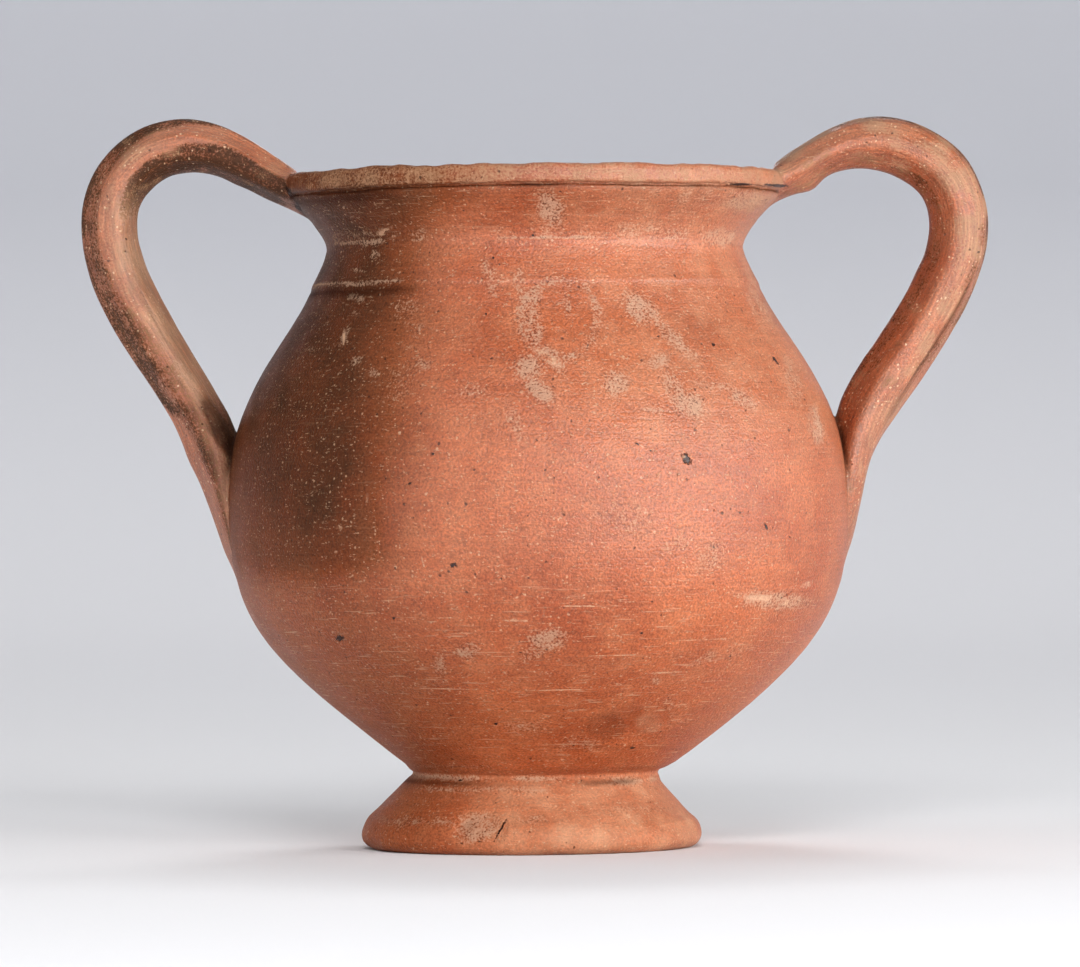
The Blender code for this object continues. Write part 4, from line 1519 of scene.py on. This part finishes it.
paper_material, add = new_material("matt_white_background_paper")
paper_place = add("TexCoord", out="Object")
paper_reach = add("VectorMath LENGTH", {0: paper_place}, "Value")
paper_height = add("SeparateXYZ", {0: paper_place}, "Z")
outward = add("MapRange", {0: paper_reach, 1: 0.0, 2: 1.0})
upward = add("MapRange", {0: paper_height, 1: 0.0, 2: WALL_FROM_HEIGHT})
paper_colour = add("Mix RGBA", {0: outward, 6: PAPER_NEAR, 7: PAPER_FAR}, 2)
# painted shade: the wall grey, darker than the floor
paper_colour = add("Mix RGBA", {0: upward, 6: paper_colour, 7: PAPER_WALL_SHADE}, 2)
paper_coat = {"Base Color": paper_colour, "Roughness": 0.9, "Specular IOR Level": 0.2}
add("OutputMaterial", {"Surface": add("BsdfPrincipled", paper_coat)})
paper.data.materials.append(paper_material)
print("paper: %d nodes" % len(paper_material.node_tree.nodes))

# %% [markdown]
# Soft lights stand round the front, each turned to the cup: the strong ones on the right, weak ones
# on the left, so the left side stays deep and the right side glows. The camera doesn't see the
# lamps themselves, only what they light.

# %% Lights
CUP_MIDDLE = Vector((0, 0, 0.07))


def soft_light(name, azimuth, elevation, size, watts, distance, aim=CUP_MIDDLE):
    """A softbox: degrees to the right of the camera, degrees up, metres, watts."""
    lamp = bpy.data.lights.new(name, "AREA")
    lamp.shape = "RECTANGLE"
    lamp.size, lamp.size_y = size
    lamp.energy = watts
    side = math.radians(azimuth)
    up = math.radians(elevation)
    away = Vector((math.cos(up) * math.sin(side), -math.cos(up) * math.cos(side), math.sin(up)))
    thing = bpy.data.objects.new(name, lamp)
    thing.visible_camera = False
    bpy.context.scene.collection.objects.link(thing)
    thing.location = CUP_MIDDLE + distance * away
    thing.rotation_euler = (Vector(aim) - thing.location).to_track_quat("-Z", "Y").to_euler()
    return thing


LIGHTS = (
    # name, azimuth, elevation, size, watts, distance
    ("right_front_light", 32, 12, (0.40, 0.40), 6.7, 1.25),
    ("key_light", 56, 6, (0.42, 0.36), 5.0, 1.25),
    ("edge_light", 82, 12, (0.5, 0.40), 5.1, 1.25),
    ("left_light", -58, 8, (0.30, 0.30), 2.0, 1.25),
    ("left_high_light", -80, 48, (0.5, 0.5), 1.8, 1.25),
    ("front_light", -4, 26, (0.5, 0.45), 6.4, 1.5),
    ("back_light", 180, 68, (0.9, 0.9), 2.2, 1.33),
)
for light in LIGHTS:
    soft_light(*light)
print("%d lights round the cup, %.0f W in all" % (len(LIGHTS), sum(light[4] for light in LIGHTS)))

# %% [markdown]
# The paper needs more light than the cup. In a studio a lamp for the background is shielded from
# the object with a card; here it is linked to the paper alone. The cup still casts its shadow in
# it, which gives the two soft wings beside the foot. A second one lights the far paper, and a small
# lamp behind the cup, linked to the cup alone, keeps its back from going black.

# %% Paper light
FAR_PAPER = (0, 1.6, 0)


def linked(light, thing):
    """Let a light reach one thing only."""
    group = bpy.data.collections.new("only_" + thing.name)
    group.objects.link(thing)
    light.light_linking.receiver_collection = group


linked(soft_light("paper_light", 0, 26, (0.60, 0.46), 26.0, 2.3), paper)
linked(soft_light("far_paper_light", 180, 52, (0.8, 0.8), 23.4, 2.44, FAR_PAPER), paper)
linked(soft_light("behind_light", 180, 16, (0.34, 0.34), 2.4, 1.25), vessel)
world = bpy.data.worlds.new("studio_dusk")
world.use_nodes = True
sky = world.node_tree.nodes["Background"].inputs
sky["Color"].default_value = linear("#E9EBF2")
sky["Strength"].default_value = 0.10
bpy.context.scene.world = world
bpy.context.scene.view_settings.view_transform = "Standard"
print("linked lights: two for the paper, one for the cup's back")

# %% [markdown]
# The camera stands level at half the cup's height, a good arm's length and a half away, with a long
# lens. The rim's and the foot's ellipses in the picture say so: both are nearly flat lines.

# %% Camera
LENS = 236.7
ROLL = 0.45

camera_data = bpy.data.cameras.new("camera")
camera_data.lens = LENS
camera_data.sensor_width = 36
camera_data.clip_end = 20
camera = bpy.data.objects.new("camera", camera_data)
bpy.context.scene.collection.objects.link(camera)
camera.location = (EYE_ACROSS * MM, -EYE_DISTANCE * MM, EYE_HEIGHT * MM)
camera.rotation_euler = (math.radians(90), math.radians(ROLL), 0)
bpy.context.scene.camera = camera
print("camera: %.0f mm lens, %.2f m away" % (LENS, EYE_DISTANCE * MM))

# %% [markdown]
# Last, the size of the solid and of the finished cup are given as the script's last value, so they can be
# compared.

# %% Finish
boxes = {"cad": CAD_BOX, "visual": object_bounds()}
{name: [list(map(float, corner)) for corner in box] for name, box in boxes.items()}
